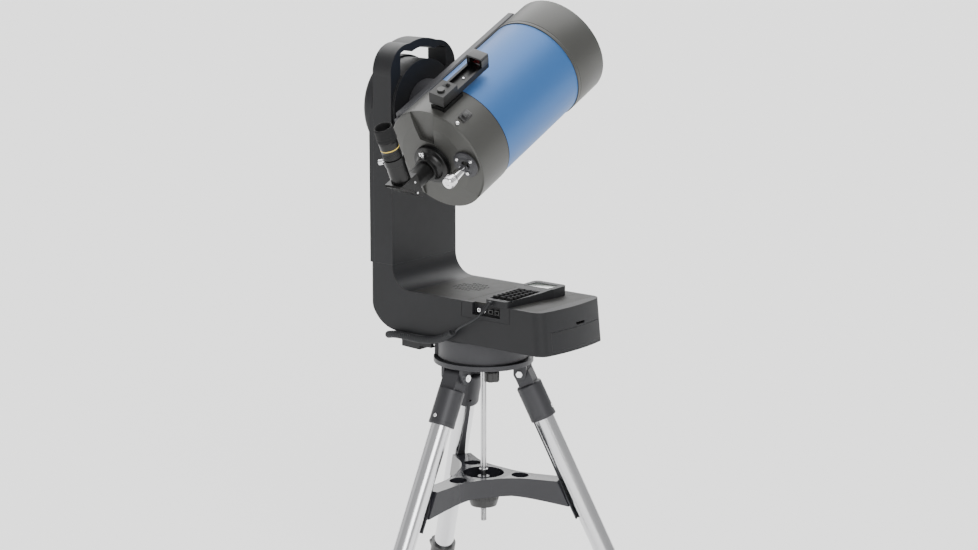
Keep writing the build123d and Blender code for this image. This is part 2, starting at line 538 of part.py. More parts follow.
def make_diagonal():
    z = REAR_END - 8.2
    nose = ring(EYEPIECE_R, 13.6, z - 1, z - 36)
    mid = DIAGONAL_AT
    shoulder = turned([(13.6, z - 35.0), (21, z - 35.0), (21, mid + 24), (13.6, mid + 24)])
    house = block(-23, 23, -23, 26, mid - 26, mid + 26)
    corner = Pos(0, 0, mid) * Rot(-45, 0, 0) * block(-40, 40, -80, 80, -80, 0)
    house = house - corner
    plate = Pos(0, 0, mid) * Rot(-45, 0, 0) * block(-21, 21, -38, 38, -4, 0)
    light = rod(13.6, mid, z) + rod_y(13.6, 0, 40, 0, 0).moved(Pos(0, 0, mid))
    light = light & (Pos(0, 0, mid) * Rot(-45, 0, 0) * block(-40, 40, -80, 80, 0.5, 200))
    stem = Pos(0, 0, mid) * (rod_y(20.5, 26, 80) - rod_y(EYEPIECE_R + RUN, 40, 81))
    band = Pos(0, 0, mid) * (rod_y(22, 66, 80) - rod_y(EYEPIECE_R + RUN, 40, 81))
    bore = Pos(0, 0, mid) * rod_y(13.6, 20, 60)
    direction = degrees(atan2(0.44, 0.9))
    screw_hole = Pos(0, 73, mid) * Rot(0, direction, 0) * rod_x(2.6, 10, 40)
    body = nose + shoulder + house + plate + stem + band - light - bore - screw_hole
    save("star_diagonal", body, at=TUBE_FRAME)

    screw = rod_x(2.5, EYEPIECE_R + 0.4, 24) + rod_x(6, 24, 33)
    screw = screw - [Rot(45 * i, 0, 0) * rod_x(1.2, 23.5, 34, 0, 6.4) for i in range(8)]
    save("diagonal_screw", screw, at=TUBE_FRAME * Pos(0, 73, mid) * Rot(0, direction, 0))

    eye = Rot(-90, 0, 0)
    barrel = ring(EYEPIECE_R, 13.8, 41, 80.4)
    body = turned([(13.8, 80.4), (19.5, 80.4), (20, 82), (20, 96), (19, 98), (20, 100), (20, 118),
                   (18.5, 121), (12, 121), (12, 100), (13.8, 98)])
    lens = turned([(0, 106), (11.9, 106), (11.9, 109), (6, 110.2), (0, 110.6)])
    cup = turned([(12.5, 121.1), (20.5, 121.1), (21.5, 127), (20.2, 150), (19, 153), (17, 153), (16, 149),
                  (13.5, 126)])
    save("eyepiece", barrel + body, lens, cup, at=TUBE_FRAME * Pos(0, 0, mid) * eye)


def make_rail():
    side0, side1 = RAIL_IN, RAIL_IN + RAIL_T
    rail = block(side0, side1, -RAIL_HALF_H, RAIL_HALF_H, RAIL_BACK, RAIL_FRONT)
    rail = chamfer(rail.edges().filter_by(Axis.Z), 3)
    rail = rail - block(side0 + 7, side1 + 1, -RAIL_HALF_H + 16, RAIL_HALF_H - 16, 70, RAIL_FRONT - 14)
    rail = rail + block(side0 + 2, side1 - 2, -RAIL_HALF_H + 10, RAIL_HALF_H - 10, RAIL_BACK - 12, RAIL_BACK)
    for z0, z1 in ((RAIL_BACK, REAR_SEAM - 6), (FRONT_SEAM + 10, FRONT_SEAM + 60)):
        pad = block(side0 - 22, side0, -44, 44, z0, z1) - rod(CELL_R + 0.02, z0 - 1, z1 + 1)
        rail = rail + pad
    save("dovetail_rail", rail, at=TUBE_FRAME)


FINDER_TURN = 15.0


def make_finder():
    """Red-dot finder on top of the rear cell, turned a little away from the arm."""
    at = TUBE_FRAME * Rot(0, 0, FINDER_TURN)
    shoe = block(-17, 17, CELL_R - 1, CELL_R + 9, -166, -100) - rod(CELL_R + 0.02, -170, -90)
    neck = block(-10, 10, CELL_R + 9, CELL_R + 14, -160, -70)
    low = CELL_R + 14
    body = block(-18.5, 18.5, low, low + 14, -168, -14)
    body = body + block(-18.5, 18.5, low, low + 26, -168, -118) + block(-18.5, 18.5, low, low + 34, -30, -6)
    sight = block(-13, 13, low + 6, low + 30, -31, -5)
    trough = block(-13, 13, low + 6, low + 40, -112, -30)
    body = body - sight - trough
    body = body - Pos(0, low + 21, -150) * rod_y(8.05, 1, 10)
    save("finder_body", shoe + neck + body, at=at)
    dial = rod_y(8, 1.1, 9, 0, 0) - [Rot(0, 30 * i, 0) * rod_y(0.8, 0, 10, 8.3, 0) for i in range(12)]
    save("finder_dial", dial, at=at * Pos(0, low + 21, -150))


# ---------------------------------------------------------------- handset
HANDSET_Z = BASE_TOP + 0.05
BOOT_BEND = (112, -120.5, 106.5)        # where the cord's boot turns down
BOOT_END = (98, -127, 86)


def cord_boot():
    """The bent strain relief that holds the cord at the handset's tail."""
    bend = Vector(*BOOT_BEND)
    way = Vector(*BOOT_END) - bend
    place = Plane(origin=bend, z_dir=way.normalized()).location
    return Pos(*BOOT_BEND) * Sphere(5) + place * rod(4.4, 0, way.length)


def make_handset():
    tail_y, head_y = -112.0, 78.0
    plan = Polyline((93, tail_y), (152, tail_y), (163, 0), (169, 30), (169, head_y), (84, head_y), (84, 30),
                    (86, 0), close=True)
    plan = make_face(plan)
    plan = fillet(plan.vertices().group_by(Axis.Y)[0], 12)
    plan = fillet(plan.vertices().group_by(Axis.Y)[-1], 12)
    side = Polyline((0, tail_y - 1, HANDSET_Z), (0, head_y + 1, HANDSET_Z), (0, head_y + 1, HANDSET_Z + 21),
                    (0, 20, HANDSET_Z + 20), (0, 0, HANDSET_Z + 17), (0, tail_y - 1, HANDSET_Z + 13), close=True)
    profile = Pos(80, 0, 0) * extrude(make_face(side), 100, dir=(1, 0, 0))
    shell = (Pos(0, 0, HANDSET_Z) * extrude(plan, 30)) & profile
    pocket = block(96, 154, -98, 2, HANDSET_Z + 9.6, HANDSET_Z + 30)
    window = block(95, 158, 22, 64, HANDSET_Z + 18.5, HANDSET_Z + 30)
    shell = shell - pocket - window
    shell = shell + rod_y(5, tail_y + 1, BOOT_BEND[1], BOOT_BEND[0], BOOT_BEND[2]) + cord_boot()
    save("handset_shell", shell)

    mat = block(96.4, 153.6, -97.6, 1.6, HANDSET_Z + 10.6, HANDSET_Z + 12.2)
    keys = []
    for row in range(7):
        for column in range(3):
            x, y = 107 + column * 18, -89 + row * 14.0
            keys.append(Pos(x, y, HANDSET_Z + 15.2) * Box(12.5, 8.5, 6.4))
    save("handset_keypad", mat + keys)


CORD_R = 2.4
COIL_R = 8.5
LEAD = [(98, -127, 86), (89.6, -130.9, 73.7), (62, -132, 58), (36, -129, 44.5), (16, -125, 31.5)]
COIL = [(16, -125, 31.5), (-4, -121, 18.5), (-30, -120.5, 7.5), (-62, -121, 2), (-96, -120.5, 1), (-128, -121.5, 3),
        (-156, -119.5, 1.5), (-178, -111, -4.5), (-190, -94, -9), (-190, -68.8, -13), (-188, -50, -13)]


def corner_radii(points):
    """Arc radii for a cord's tube: each as large as its two runs allow."""
    radii = []
    for before, here, after in zip(points, points[1:], points[2:]):
        a = Vector(*here) - Vector(*before)
        b = Vector(*after) - Vector(*here)
        half_turn = radians(a.get_angle(b)) / 2
        radii.append(0.45 * min(a.length, b.length) / tan(half_turn))
    return radii


def cord_tube(points, r):
    radii = corner_radii(points)
    path = FilletPolyline(*points, radius=radii)
    tube = sweep(Plane(origin=path @ 0, z_dir=path % 0) * Circle(r), path=path)
    print("cord radii", [round(v, 1) for v in radii], "length", round(path.length, 1))
    print("  volume", round(tube.volume, 1), "section x length", round(pi * r * r * path.length, 1))
    return tube


def make_cord():
    save("cord_lead", cord_tube(LEAD, CORD_R))
    save("cord_coil", cord_tube(COIL, COIL_R))
    end = Vector(*COIL[-1])
    way = (end - Vector(*COIL[-2])).normalized()
    place = Plane(origin=end, z_dir=way).location
    save("cord_plug", rod(6.5, 0, 9) + rod(4.5, 9, 13.95), at=place)


# ---------------------------------------------------------------- all of it
make_head()
make_pivot_bolts()
make_rod_and_knobs()
make_spreader()
for number, leg_azimuth in enumerate(LEG_AZIMUTHS, start=1):
    make_leg(number, leg_azimuth)
make_drum()
make_base()
make_arm()
make_altitude_hub()
make_tube()
make_rear_cell()
make_mirror()
make_focuser()
make_visual_back()
make_diagonal()
make_rail()
make_finder()
make_handset()
make_cord()

os.makedirs("parts", exist_ok=True)
for node_name, node_shape in nodes.items():
    export_step(node_shape, f"parts/{node_name}.step")
print(len(nodes), "nodes")
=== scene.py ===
import json
import logging
import math
from dataclasses import dataclass, field
from enum import Enum
from typing import Iterable, Optional, Sequence

import bmesh
import bpy
from mathutils import Matrix, Vector


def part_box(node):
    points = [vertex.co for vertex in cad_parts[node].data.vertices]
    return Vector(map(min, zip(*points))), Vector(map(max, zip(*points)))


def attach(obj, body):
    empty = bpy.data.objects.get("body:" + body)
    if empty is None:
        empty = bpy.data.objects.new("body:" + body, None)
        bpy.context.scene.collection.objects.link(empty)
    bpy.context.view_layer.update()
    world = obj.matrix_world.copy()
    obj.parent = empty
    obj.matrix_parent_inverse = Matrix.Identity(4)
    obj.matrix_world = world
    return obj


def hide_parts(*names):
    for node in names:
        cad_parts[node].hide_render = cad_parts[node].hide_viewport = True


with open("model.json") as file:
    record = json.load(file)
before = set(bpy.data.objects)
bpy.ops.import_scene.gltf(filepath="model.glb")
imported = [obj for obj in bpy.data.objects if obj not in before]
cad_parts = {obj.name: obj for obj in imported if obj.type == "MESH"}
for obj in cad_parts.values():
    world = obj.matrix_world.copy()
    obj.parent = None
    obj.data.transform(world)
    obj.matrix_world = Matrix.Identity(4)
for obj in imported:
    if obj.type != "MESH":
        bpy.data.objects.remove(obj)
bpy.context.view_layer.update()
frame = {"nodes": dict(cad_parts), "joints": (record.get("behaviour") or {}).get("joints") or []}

log = logging.getLogger("telescope")

MM = 0.001
Colour = tuple[float, float, float]
Profile = Sequence[tuple[float, float]]


# ------------------------------------------------------------------ places
def joint_named(name: str) -> dict:
    """The record's joint of that name."""
    return next(joint for joint in frame["joints"] if joint["name"] == name)


@dataclass(frozen=True)
class Places:
    """The frames that the pieces are built in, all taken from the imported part."""

    azimuth_axis: Vector
    altitude_axis: Vector
    optical_x: float
    optical_axis: Vector

    @staticmethod
    def read() -> "Places":
        """Read the axes from the part's joints and the tube's box."""
        low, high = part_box("optical_tube")
        return Places(
            Vector(joint_named("azimuth")["pos_m"]),
            Vector(joint_named("altitude")["pos_m"]),
            (low.x + high.x) / 2,
            Vector(joint_named("focus")["axis"]).normalized(),
        )

    def mount(self) -> Matrix:
        """Millimetres about the azimuth axis, to metres in the row frame."""
        return Matrix.Translation(self.azimuth_axis) @ Matrix.Scale(MM, 4)

    def tube(self) -> Matrix:
        """Millimetres about the optical axis: x towards the arm, y up, z to the front."""
        along = self.optical_axis
        side = Vector((-1.0, 0.0, 0.0))
        up = along.cross(side)
        turn = Matrix((side, up, along)).transposed().to_4x4()
        centre = Vector((self.optical_x, self.altitude_axis.y, self.altitude_axis.z))
        return Matrix.Translation(centre) @ turn @ Matrix.Scale(MM, 4)

    def leg(self, index: int) -> Matrix:
        """Millimetres about a leg's pivot: x outwards across it, -z down along it."""
        down = Vector(joint_named(f"leg_extend_{index}")["axis"]).normalized()
        pivot = Vector(joint_named(f"leg_fold_{index}")["pos_m"])
        tangent = Vector(joint_named(f"leg_fold_{index}")["axis"]).normalized()
        out = tangent.cross(-down)
        turn = Matrix((out, tangent, -down)).transposed().to_4x4()
        return Matrix.Translation(pivot) @ turn @ Matrix.Scale(MM, 4)


PLACES = Places.read()


# ------------------------------------------------------------------ shader groups
class Group:
    """A shader node group with a few named sockets, built once."""

    def __init__(self, name: str, inputs: dict[str, object], outputs: dict[str, str]) -> None:
        """Make the group and its sockets.

        Args:
            name: the group's name.
            inputs: each input's name and default, a number or a colour.
            outputs: each output's name and socket type.
        """
        self.tree = bpy.data.node_groups.new(name, "ShaderNodeTree")
        for label, default in inputs.items():
            is_colour = isinstance(default, tuple)
            kind = "NodeSocketColor" if is_colour else "NodeSocketFloat"
            socket = self.tree.interface.new_socket(label, in_out="INPUT", socket_type=kind)
            socket.default_value = (*default, 1.0) if is_colour else default
        for label, kind in outputs.items():
            self.tree.interface.new_socket(label, in_out="OUTPUT", socket_type=kind)
        self.entry = self.tree.nodes.new("NodeGroupInput")
        self.exit = self.tree.nodes.new("NodeGroupOutput")

    def node(self, kind: str, **settings: object) -> bpy.types.Node:
        """Add a node, set its properties and return it."""
        made = self.tree.nodes.new(kind)
        for key, value in settings.items():
            setattr(made, key, value)
        return made

    def link(self, start: bpy.types.NodeSocket, end: bpy.types.NodeSocket) -> None:
        """Join two sockets."""
        self.tree.links.new(start, end)

    def math(self, operation: str, *values: object) -> bpy.types.NodeSocket:
        """A Math node on sockets or numbers; returns its result."""
        made = self.node("ShaderNodeMath", operation=operation)
        for slot, value in zip(made.inputs, values):
            if isinstance(value, bpy.types.NodeSocket):
                self.link(value, slot)
            else:
                slot.default_value = value
        return made.outputs[0]

    def noise(self, where: bpy.types.NodeSocket, scale: object, detail: float) -> bpy.types.NodeSocket:
        """A Noise texture at a place; returns its value."""
        made = self.node("ShaderNodeTexNoise")
        self.link(where, made.inputs["Vector"])
        made.inputs["Detail"].default_value = detail
        if isinstance(scale, bpy.types.NodeSocket):
            self.link(scale, made.inputs["Scale"])
        else:
            made.inputs["Scale"].default_value = scale
        return made.outputs["Fac"]


def make_mould_grain() -> bpy.types.NodeTree:
    """The fine spark-eroded grain of moulded plastic and satin paint, as a height."""
    group = Group("MouldGrain", {"Scale": 900.0, "Swell": 35.0}, {"Height": "NodeSocketFloat"})
    place = group.node("ShaderNodeTexCoord").outputs["Object"]
    fine = group.noise(place, group.entry.outputs["Scale"], 3.0)
    swell = group.noise(place, group.entry.outputs["Swell"], 2.0)
    group.link(group.math("MULTIPLY_ADD", swell, 0.6, fine), group.exit.inputs["Height"])
    return group.tree


def make_handled() -> bpy.types.NodeTree:
    """Slight unevenness of tone and gloss from handling and from the moulding."""
    group = Group(
        "Handled",
        {"Colour": (0.1, 0.1, 0.1), "Amount": 0.1, "Roughness": 0.4, "Spread": 0.06, "Scale": 14.0},
        {"Colour": "NodeSocketColor", "Roughness": "NodeSocketFloat"},
    )
    place = group.node("ShaderNodeTexCoord").outputs["Object"]
    cloud = group.noise(place, group.entry.outputs["Scale"], 6.0)
    centred = group.math("SUBTRACT", cloud, 0.5)
    gain = group.math("MULTIPLY_ADD", centred, group.entry.outputs["Amount"], 1.0)
    tone = group.node("ShaderNodeVectorMath", operation="SCALE")
    group.link(group.entry.outputs["Colour"], tone.inputs[0])
    group.link(gain, tone.inputs["Scale"])
    group.link(tone.outputs[0], group.exit.inputs["Colour"])
    smear = group.noise(place, 60.0, 4.0)
    shift = group.math("MULTIPLY", group.math("SUBTRACT", smear, 0.5), group.entry.outputs["Spread"])
    group.link(group.math("ADD", shift, group.entry.outputs["Roughness"]), group.exit.inputs["Roughness"])
    return group.tree


def make_edge_wear() -> bpy.types.NodeTree:
    """A mask of rubbed corners, broken up by noise."""
    group = Group("EdgeWear", {"Width": 0.0012, "Amount": 0.5}, {"Mask": "NodeSocketFloat"})
    rounded = group.node("ShaderNodeBevel", samples=4)
    group.link(group.entry.outputs["Width"], rounded.inputs["Radius"])
    flat = group.node("ShaderNodeNewGeometry")
    dot = group.node("ShaderNodeVectorMath", operation="DOT_PRODUCT")
    group.link(rounded.outputs[0], dot.inputs[0])
    group.link(flat.outputs["Normal"], dot.inputs[1])
    bend = group.math("SUBTRACT", 1.0, dot.outputs["Value"])
    place = group.node("ShaderNodeTexCoord").outputs["Object"]
    broken = group.math("MULTIPLY", bend, group.noise(place, 180.0, 4.0))
    strong = group.math("MULTIPLY", group.math("MULTIPLY", broken, 9.0), group.entry.outputs["Amount"])
    group.link(group.math("MINIMUM", strong, 1.0), group.exit.inputs["Mask"])
    return group.tree


def make_settled_dust() -> bpy.types.NodeTree:
    """A mask of thin dust on faces that look up."""
    group = Group("SettledDust", {"Amount": 0.1}, {"Mask": "NodeSocketFloat"})
    geometry = group.node("ShaderNodeNewGeometry")
    parts = group.node("ShaderNodeSeparateXYZ")
    group.link(geometry.outputs["Normal"], parts.inputs[0])
    up = group.math("MAXIMUM", parts.outputs["Z"], 0.0)
    place = group.node("ShaderNodeTexCoord").outputs["Object"]
    patch = group.math("MULTIPLY", group.math("POWER", up, 3.0), group.noise(place, 40.0, 8.0))
    group.link(group.math("MULTIPLY", patch, group.entry.outputs["Amount"]), group.exit.inputs["Mask"])
    return group.tree


def make_drawn_lines() -> bpy.types.NodeTree:
    """Fine lines left by drawing or turning, along the piece's own V direction."""
    group = Group(
        "DrawnLines",
        {"Across": 420.0, "Along": 1.5, "Spread": 0.12, "Roughness": 0.22},
        {"Height": "NodeSocketFloat", "Roughness": "NodeSocketFloat", "Band": "NodeSocketFloat"},
    )
    place = group.node("ShaderNodeTexCoord").outputs["UV"]
    stretch = group.node("ShaderNodeCombineXYZ")
    group.link(group.entry.outputs["Across"], stretch.inputs["X"])
    group.link(group.entry.outputs["Along"], stretch.inputs["Y"])
    scaled = group.node("ShaderNodeVectorMath", operation="MULTIPLY")
    group.link(place, scaled.inputs[0])
    group.link(stretch.outputs[0], scaled.inputs[1])
    lines = group.noise(scaled.outputs[0], 1.0, 5.0)
    band = group.noise(scaled.outputs[0], 0.06, 2.0)
    shift = group.math("MULTIPLY", group.math("SUBTRACT", lines, 0.5), group.entry.outputs["Spread"])
    group.link(lines, group.exit.inputs["Height"])
    group.link(group.math("ADD", shift, group.entry.outputs["Roughness"]), group.exit.inputs["Roughness"])
    group.link(band, group.exit.inputs["Band"])
    return group.tree


GROUPS = {
    "grain": make_mould_grain(),
    "handled": make_handled(),
    "wear": make_edge_wear(),
    "dust": make_settled_dust(),
    "lines": make_drawn_lines(),
}


# ------------------------------------------------------------------ finishes
class Surface(Enum):
    """How a finish's fine relief is made."""

    GRAIN = "grain"
    LINES = "lines"


@dataclass(frozen=True)
class Finish:
    """One finish: its colour, its gloss and its fine relief."""

    name: str
    colour: Colour
    roughness: float
    metallic: float = 0.0
    coat: float = 0.0
    coat_roughness: float = 0.1
    surface: Surface = Surface.GRAIN
    grain: float = 900.0
    relief: float = 0.12
    relief_depth: float = 0.00008
    uneven: float = 0.25
    gloss_spread: float = 0.08
    wear: float = 0.25
    worn: Colour = (0.30, 0.30, 0.30)
    dust: float = 0.08
    dust_colour: Colour = (0.16, 0.155, 0.14)
    edge: float = 0.0009
    across: float = 420.0
    along: float = 1.5
    anisotropy: float = 0.0
    specular: float = 0.5
    flake: float = 0.0
    transmission: float = 0.0
    ior: float = 1.5

    def material(self) -> bpy.types.Material:
        """The material of this finish, built the first time it is asked for."""
        found = bpy.data.materials.get(self.name)
        return found if found else self.build()

    def build(self) -> bpy.types.Material:
        """Wire the material from the shared groups."""
        made = bpy.data.materials.new(self.name)
        made.use_nodes = True
        tree = made.node_tree
        shader = tree.nodes["Principled BSDF"]
        shader.inputs["Metallic"].default_value = self.metallic
        shader.inputs["Coat Weight"].default_value = self.coat
        shader.inputs["Coat Roughness"].default_value = self.coat_roughness
        shader.inputs["Anisotropic"].default_value = self.anisotropy
        shader.inputs["Specular IOR Level"].default_value = self.specular
        shader.inputs["Transmission Weight"].default_value = self.transmission
        shader.inputs["IOR"].default_value = self.ior
        handled = self.group(tree, "handled", Colour=(*self.colour, 1.0), Amount=self.uneven,
                             Roughness=self.roughness, Spread=self.gloss_spread)
        colour = handled.outputs["Colour"]
        roughness = handled.outputs["Roughness"]
        if self.surface is Surface.LINES:
            lines = self.group(tree, "lines", Across=self.across, Along=self.along,
                               Roughness=self.roughness, Spread=self.gloss_spread)
            height = lines.outputs["Height"]
            roughness = lines.outputs["Roughness"]
            colour = self.mix(tree, lines.outputs["Band"], colour, tuple(0.72 * c for c in self.colour))
        else:
            height = self.group(tree, "grain", Scale=self.grain).outputs["Height"]
        if self.flake:
            colour = self.add_flake(tree, colour)
        if self.wear:
            mask = self.group(tree, "wear", Width=self.edge, Amount=self.wear).outputs["Mask"]
            colour = self.mix(tree, mask, colour, self.worn)
        if self.dust:
            mask = self.group(tree, "dust", Amount=self.dust).outputs["Mask"]
            colour = self.mix(tree, mask, colour, self.dust_colour)
        tree.links.new(colour, shader.inputs["Base Color"])
        tree.links.new(roughness, shader.inputs["Roughness"])
        bump = tree.nodes.new("ShaderNodeBump")
        bump.inputs["Strength"].default_value = self.relief
        bump.inputs["Distance"].default_value = self.relief_depth
        tree.links.new(height, bump.inputs["Height"])
        if self.edge:
            soft = tree.nodes.new("ShaderNodeBevel")
            soft.samples = 4
            soft.inputs["Radius"].default_value = self.edge
            tree.links.new(soft.outputs[0], bump.inputs["Normal"])
        tree.links.new(bump.outputs[0], shader.inputs["Normal"])
        return made

    @staticmethod
    def group(tree: bpy.types.NodeTree, name: str, **values: object) -> bpy.types.Node:
        """Place a shared group with its own values.

        Args:
            tree: the material's tree.
            name: the group's key.
            values: the inputs to set, by name.

        Returns:
            The group node.
        """
        node = tree.nodes.new("ShaderNodeGroup")
        node.node_tree = GROUPS[name]
        for key, value in values.items():
            node.inputs[key].default_value = value
        return node

    @staticmethod
    def mix(tree: bpy.types.NodeTree, mask: bpy.types.NodeSocket, colour: bpy.types.NodeSocket,
            other: Colour) -> bpy.types.NodeSocket:
        """Mix a colour towards another by a mask and return the result."""
        node = tree.nodes.new("ShaderNodeMix")
        node.data_type = "RGBA"
        tree.links.new(mask, node.inputs["Factor"])
        tree.links.new(colour, node.inputs["A"])
        node.inputs["B"].default_value = (*other, 1.0)
        return node.outputs["Result"]

    def add_flake(self, tree: bpy.types.NodeTree, colour: bpy.types.NodeSocket) -> bpy.types.NodeSocket:
        """Sparkle of aluminium flake in a paint, as brighter cells."""
        place = tree.nodes.new("ShaderNodeTexCoord")
        cells = tree.nodes.new("ShaderNodeTexVoronoi")
        cells.inputs["Scale"].default_value = 2400.0
        tree.links.new(place.outputs["Object"], cells.inputs["Vector"])
        pick = tree.nodes.new("ShaderNodeSeparateColor")
        tree.links.new(cells.outputs["Color"], pick.inputs[0])
        gate = tree.nodes.new("ShaderNodeMath")
        gate.operation = "MULTIPLY"
        tree.links.new(pick.outputs[0], gate.inputs[0])
        gate.inputs[1].default_value = self.flake
        bright = tuple(min(1.0, 2.2 * c + 0.05) for c in self.colour)
        return self.mix(tree, gate.outputs[0], colour, bright)


HOUSING = Finish("housing_plastic", (0.0115, 0.0118, 0.0132), 0.5, specular=0.28, relief=0.22, wear=0.18,
                 worn=(0.16, 0.16, 0.165))
TOP_COVER = Finish("cover_plastic", (0.0125, 0.0125, 0.011), 0.55, specular=0.25, relief=0.25, wear=0.15,
                   worn=(0.18, 0.18, 0.17), dust=0.14)
CELL_PAINT = Finish("cell_paint", (0.0115, 0.0110, 0.0085), 0.46, specular=0.28, coat=0.05,
                    coat_roughness=0.3, relief=0.2,
                    wear=0.25, worn=(0.12, 0.12, 0.11))
BLACK_PAINT = Finish("black_paint", (0.008, 0.008, 0.009), 0.4, specular=0.35, coat=0.05, coat_roughness=0.3,
                     relief=0.25,
                     wear=0.3, worn=(0.16, 0.16, 0.165))
GLOSS_BLACK = Finish("gloss_black", (0.006, 0.006, 0.0055), 0.30, specular=0.22, coat=0.04, relief=0.06,
                     dust=0.02,
                     wear=0.2, worn=(0.10, 0.10, 0.10), edge=0.0016)
KNOB_BLACK = Finish("knob_black", (0.008, 0.008, 0.009), 0.5, specular=0.25, dust=0.03, relief=0.35,
                    grain=700.0, wear=0.3, worn=(0.12, 0.12, 0.12))
TUBE_BLUE = Finish("tube_blue", (0.016, 0.048, 0.125), 0.38, metallic=0.85, coat=0.04, coat_roughness=0.3,
                   relief=0.03,
                   specular=0.3, uneven=0.06, gloss_spread=0.03, wear=0.1, worn=(0.12, 0.16, 0.24), dust=0.02,
                   flake=0.12)
ANODISED = Finish("black_anodised", (0.018, 0.018, 0.019), 0.30, metallic=0.5, specular=0.4, dust=0.02,
                  relief=0.15, grain=1400.0,
                  wear=0.35, worn=(0.35, 0.35, 0.36))
CHROME = Finish("bright_chrome", (0.86, 0.86, 0.87), 0.10, metallic=1.0, relief=0.04, uneven=0.05,
                gloss_spread=0.05, wear=0.1, worn=(0.6, 0.6, 0.6), dust=0.04, edge=0.0005)
STEEL = Finish("turned_steel", (0.55, 0.55, 0.56), 0.26, metallic=1.0, relief=0.2, grain=600.0, uneven=0.2,
               wear=0.2, worn=(0.8, 0.8, 0.8))
ALUMINIUM = Finish("drawn_aluminium", (0.80, 0.80, 0.82), 0.20, metallic=1.0, surface=Surface.LINES,
                   relief=0.30,
                   uneven=0.08, gloss_spread=0.16, wear=0.1, worn=(0.9, 0.9, 0.9), dust=0.03, anisotropy=0.5,
                   edge=0.0)
TURNED_CHROME = Finish("turned_chrome", (0.88, 0.88, 0.89), 0.09, metallic=1.0, surface=Surface.LINES,
                       relief=0.06,
                       across=3.0, along=2400.0, uneven=0.05, gloss_spread=0.06, wear=0.1,
                       worn=(0.7, 0.7, 0.7),
                       dust=0.03, edge=0.0)
BRASS = Finish("machined_brass", (0.62, 0.42, 0.16), 0.28, metallic=1.0, relief=0.15, uneven=0.25)
RUBBER = Finish("black_rubber", (0.009, 0.009, 0.0095), 0.72, specular=0.22, relief=0.5, grain=500.0,
                uneven=0.35, wear=0.2,
                worn=(0.05, 0.05, 0.05), dust=0.06)
CORD_RUBBER = Finish("cord_rubber", (0.022, 0.023, 0.025), 0.46, specular=0.3, relief=0.2, grain=800.0,
                     wear=0.0, edge=0.0, dust=0.04)
GLASS = Finish("coated_glass", (0.86, 0.93, 0.90), 0.02, transmission=1.0, ior=1.5, relief=0.0, wear=0.0,
               dust=0.0,
               uneven=0.0, gloss_spread=0.01, edge=0.0)
EYE_GLASS = Finish("eye_lens", (0.03, 0.035, 0.05), 0.03, coat=1.0, coat_roughness=0.02, relief=0.0, wear=0.0,
                   dust=0.02, uneven=0.1, gloss_spread=0.01, edge=0.0)
MIRROR = Finish("mirror_coating", (0.92, 0.93, 0.94), 0.02, metallic=1.0, relief=0.01, wear=0.0, dust=0.03,
                uneven=0.02, gloss_spread=0.01, edge=0.0)
BOARD = Finish("solder_mask", (0.012, 0.09, 0.03), 0.35, coat=0.4, relief=0.2, grain=300.0)
DISPLAY = Finish("display_window", (0.28, 0.31, 0.28), 0.18, coat=0.8, coat_roughness=0.06, relief=0.03,
                 wear=0.0, uneven=0.1)
GOLD_RING = Finish("gold_band", (0.62, 0.44, 0.06), 0.42, relief=0.1, wear=0.1, worn=(0.7, 0.6, 0.3))
RED_LENS = Finish("red_window", (0.10, 0.012, 0.014), 0.05, coat=1.0, coat_roughness=0.02, relief=0.0,
                  wear=0.0,
                  dust=0.02, uneven=0.1, gloss_spread=0.01, edge=0.0)
# Painted shadow: a flat near-black finish that stands in for the shade inside slots, seams and joints.
SEAM_SHADOW = Finish("seam_shadow", (0.008, 0.008, 0.009), 0.7, relief=0.3, wear=0.0, dust=0.0, edge=0.0)

CAD_FINISHES: dict[str, Finish] = {
    "base_housing": HOUSING, "arm_housing": HOUSING, "arm_outer_cover": HOUSING, "battery_door": HOUSING,
    "handset_shell": HOUSING, "base_top_cover": TOP_COVER, "tripod_head": BLACK_PAINT,
                                   "drive_drum": BLACK_PAINT,
    "altitude_hub": BLACK_PAINT, "dovetail_rail": BLACK_PAINT, "front_cell": CELL_PAINT,
                                   "rear_cell": CELL_PAINT,
    "optical_tube": TUBE_BLUE, "leg_pivot_bolts": CHROME, "focus_knob": CHROME, "diagonal_screw": CHROME,
    "centre_rod": STEEL, "azimuth_bearing": STEEL, "azimuth_wheel": BRASS, "azimuth_worm": BRASS,
    "altitude_worm": BRASS, "spreader_tray": GLOSS_BLACK, "tension_knob": KNOB_BLACK, "visual_back": ANODISED,
    "star_diagonal": ANODISED, "eyepiece": ANODISED, "finder_body": ANODISED, "finder_dial": KNOB_BLACK,
    "baffle_tube": ANODISED, "mirror_carrier": ANODISED, "focus_plate": BLACK_PAINT, "primary_mirror": MIRROR,
    "secondary_mirror": CELL_PAINT, "corrector_plate": GLASS, "handset_keypad": RUBBER,
                                   "cord_lead": CORD_RUBBER,
    "cord_coil": CORD_RUBBER, "cord_plug": RUBBER, "circuit_board": BOARD, "port_sockets": KNOB_BLACK,
    "speaker": KNOB_BLACK, "battery_pack": KNOB_BLACK,
}
for leg_number in (1, 2, 3):
    CAD_FINISHES[f"leg_casting_{leg_number}"] = BLACK_PAINT
    CAD_FINISHES[f"leg_tube_{leg_number}"] = ALUMINIUM
    CAD_FINISHES[f"leg_extension_{leg_number}"] = ALUMINIUM
    CAD_FINISHES[f"leg_collar_{leg_number}"] = KNOB_BLACK
    CAD_FINISHES[f"leg_lock_{leg_number}"] = KNOB_BLACK
    CAD_FINISHES[f"clamp_knob_{leg_number}"] = KNOB_BLACK


def dress_cad_nodes() -> None:
    """Give every carried-over CAD node its finish."""
    for name, node in frame["nodes"].items():
        node.data.materials.clear()
        node.data.materials.append(CAD_FINISHES[name].material())
    log.info("dressed %d nodes", len(frame["nodes"]))


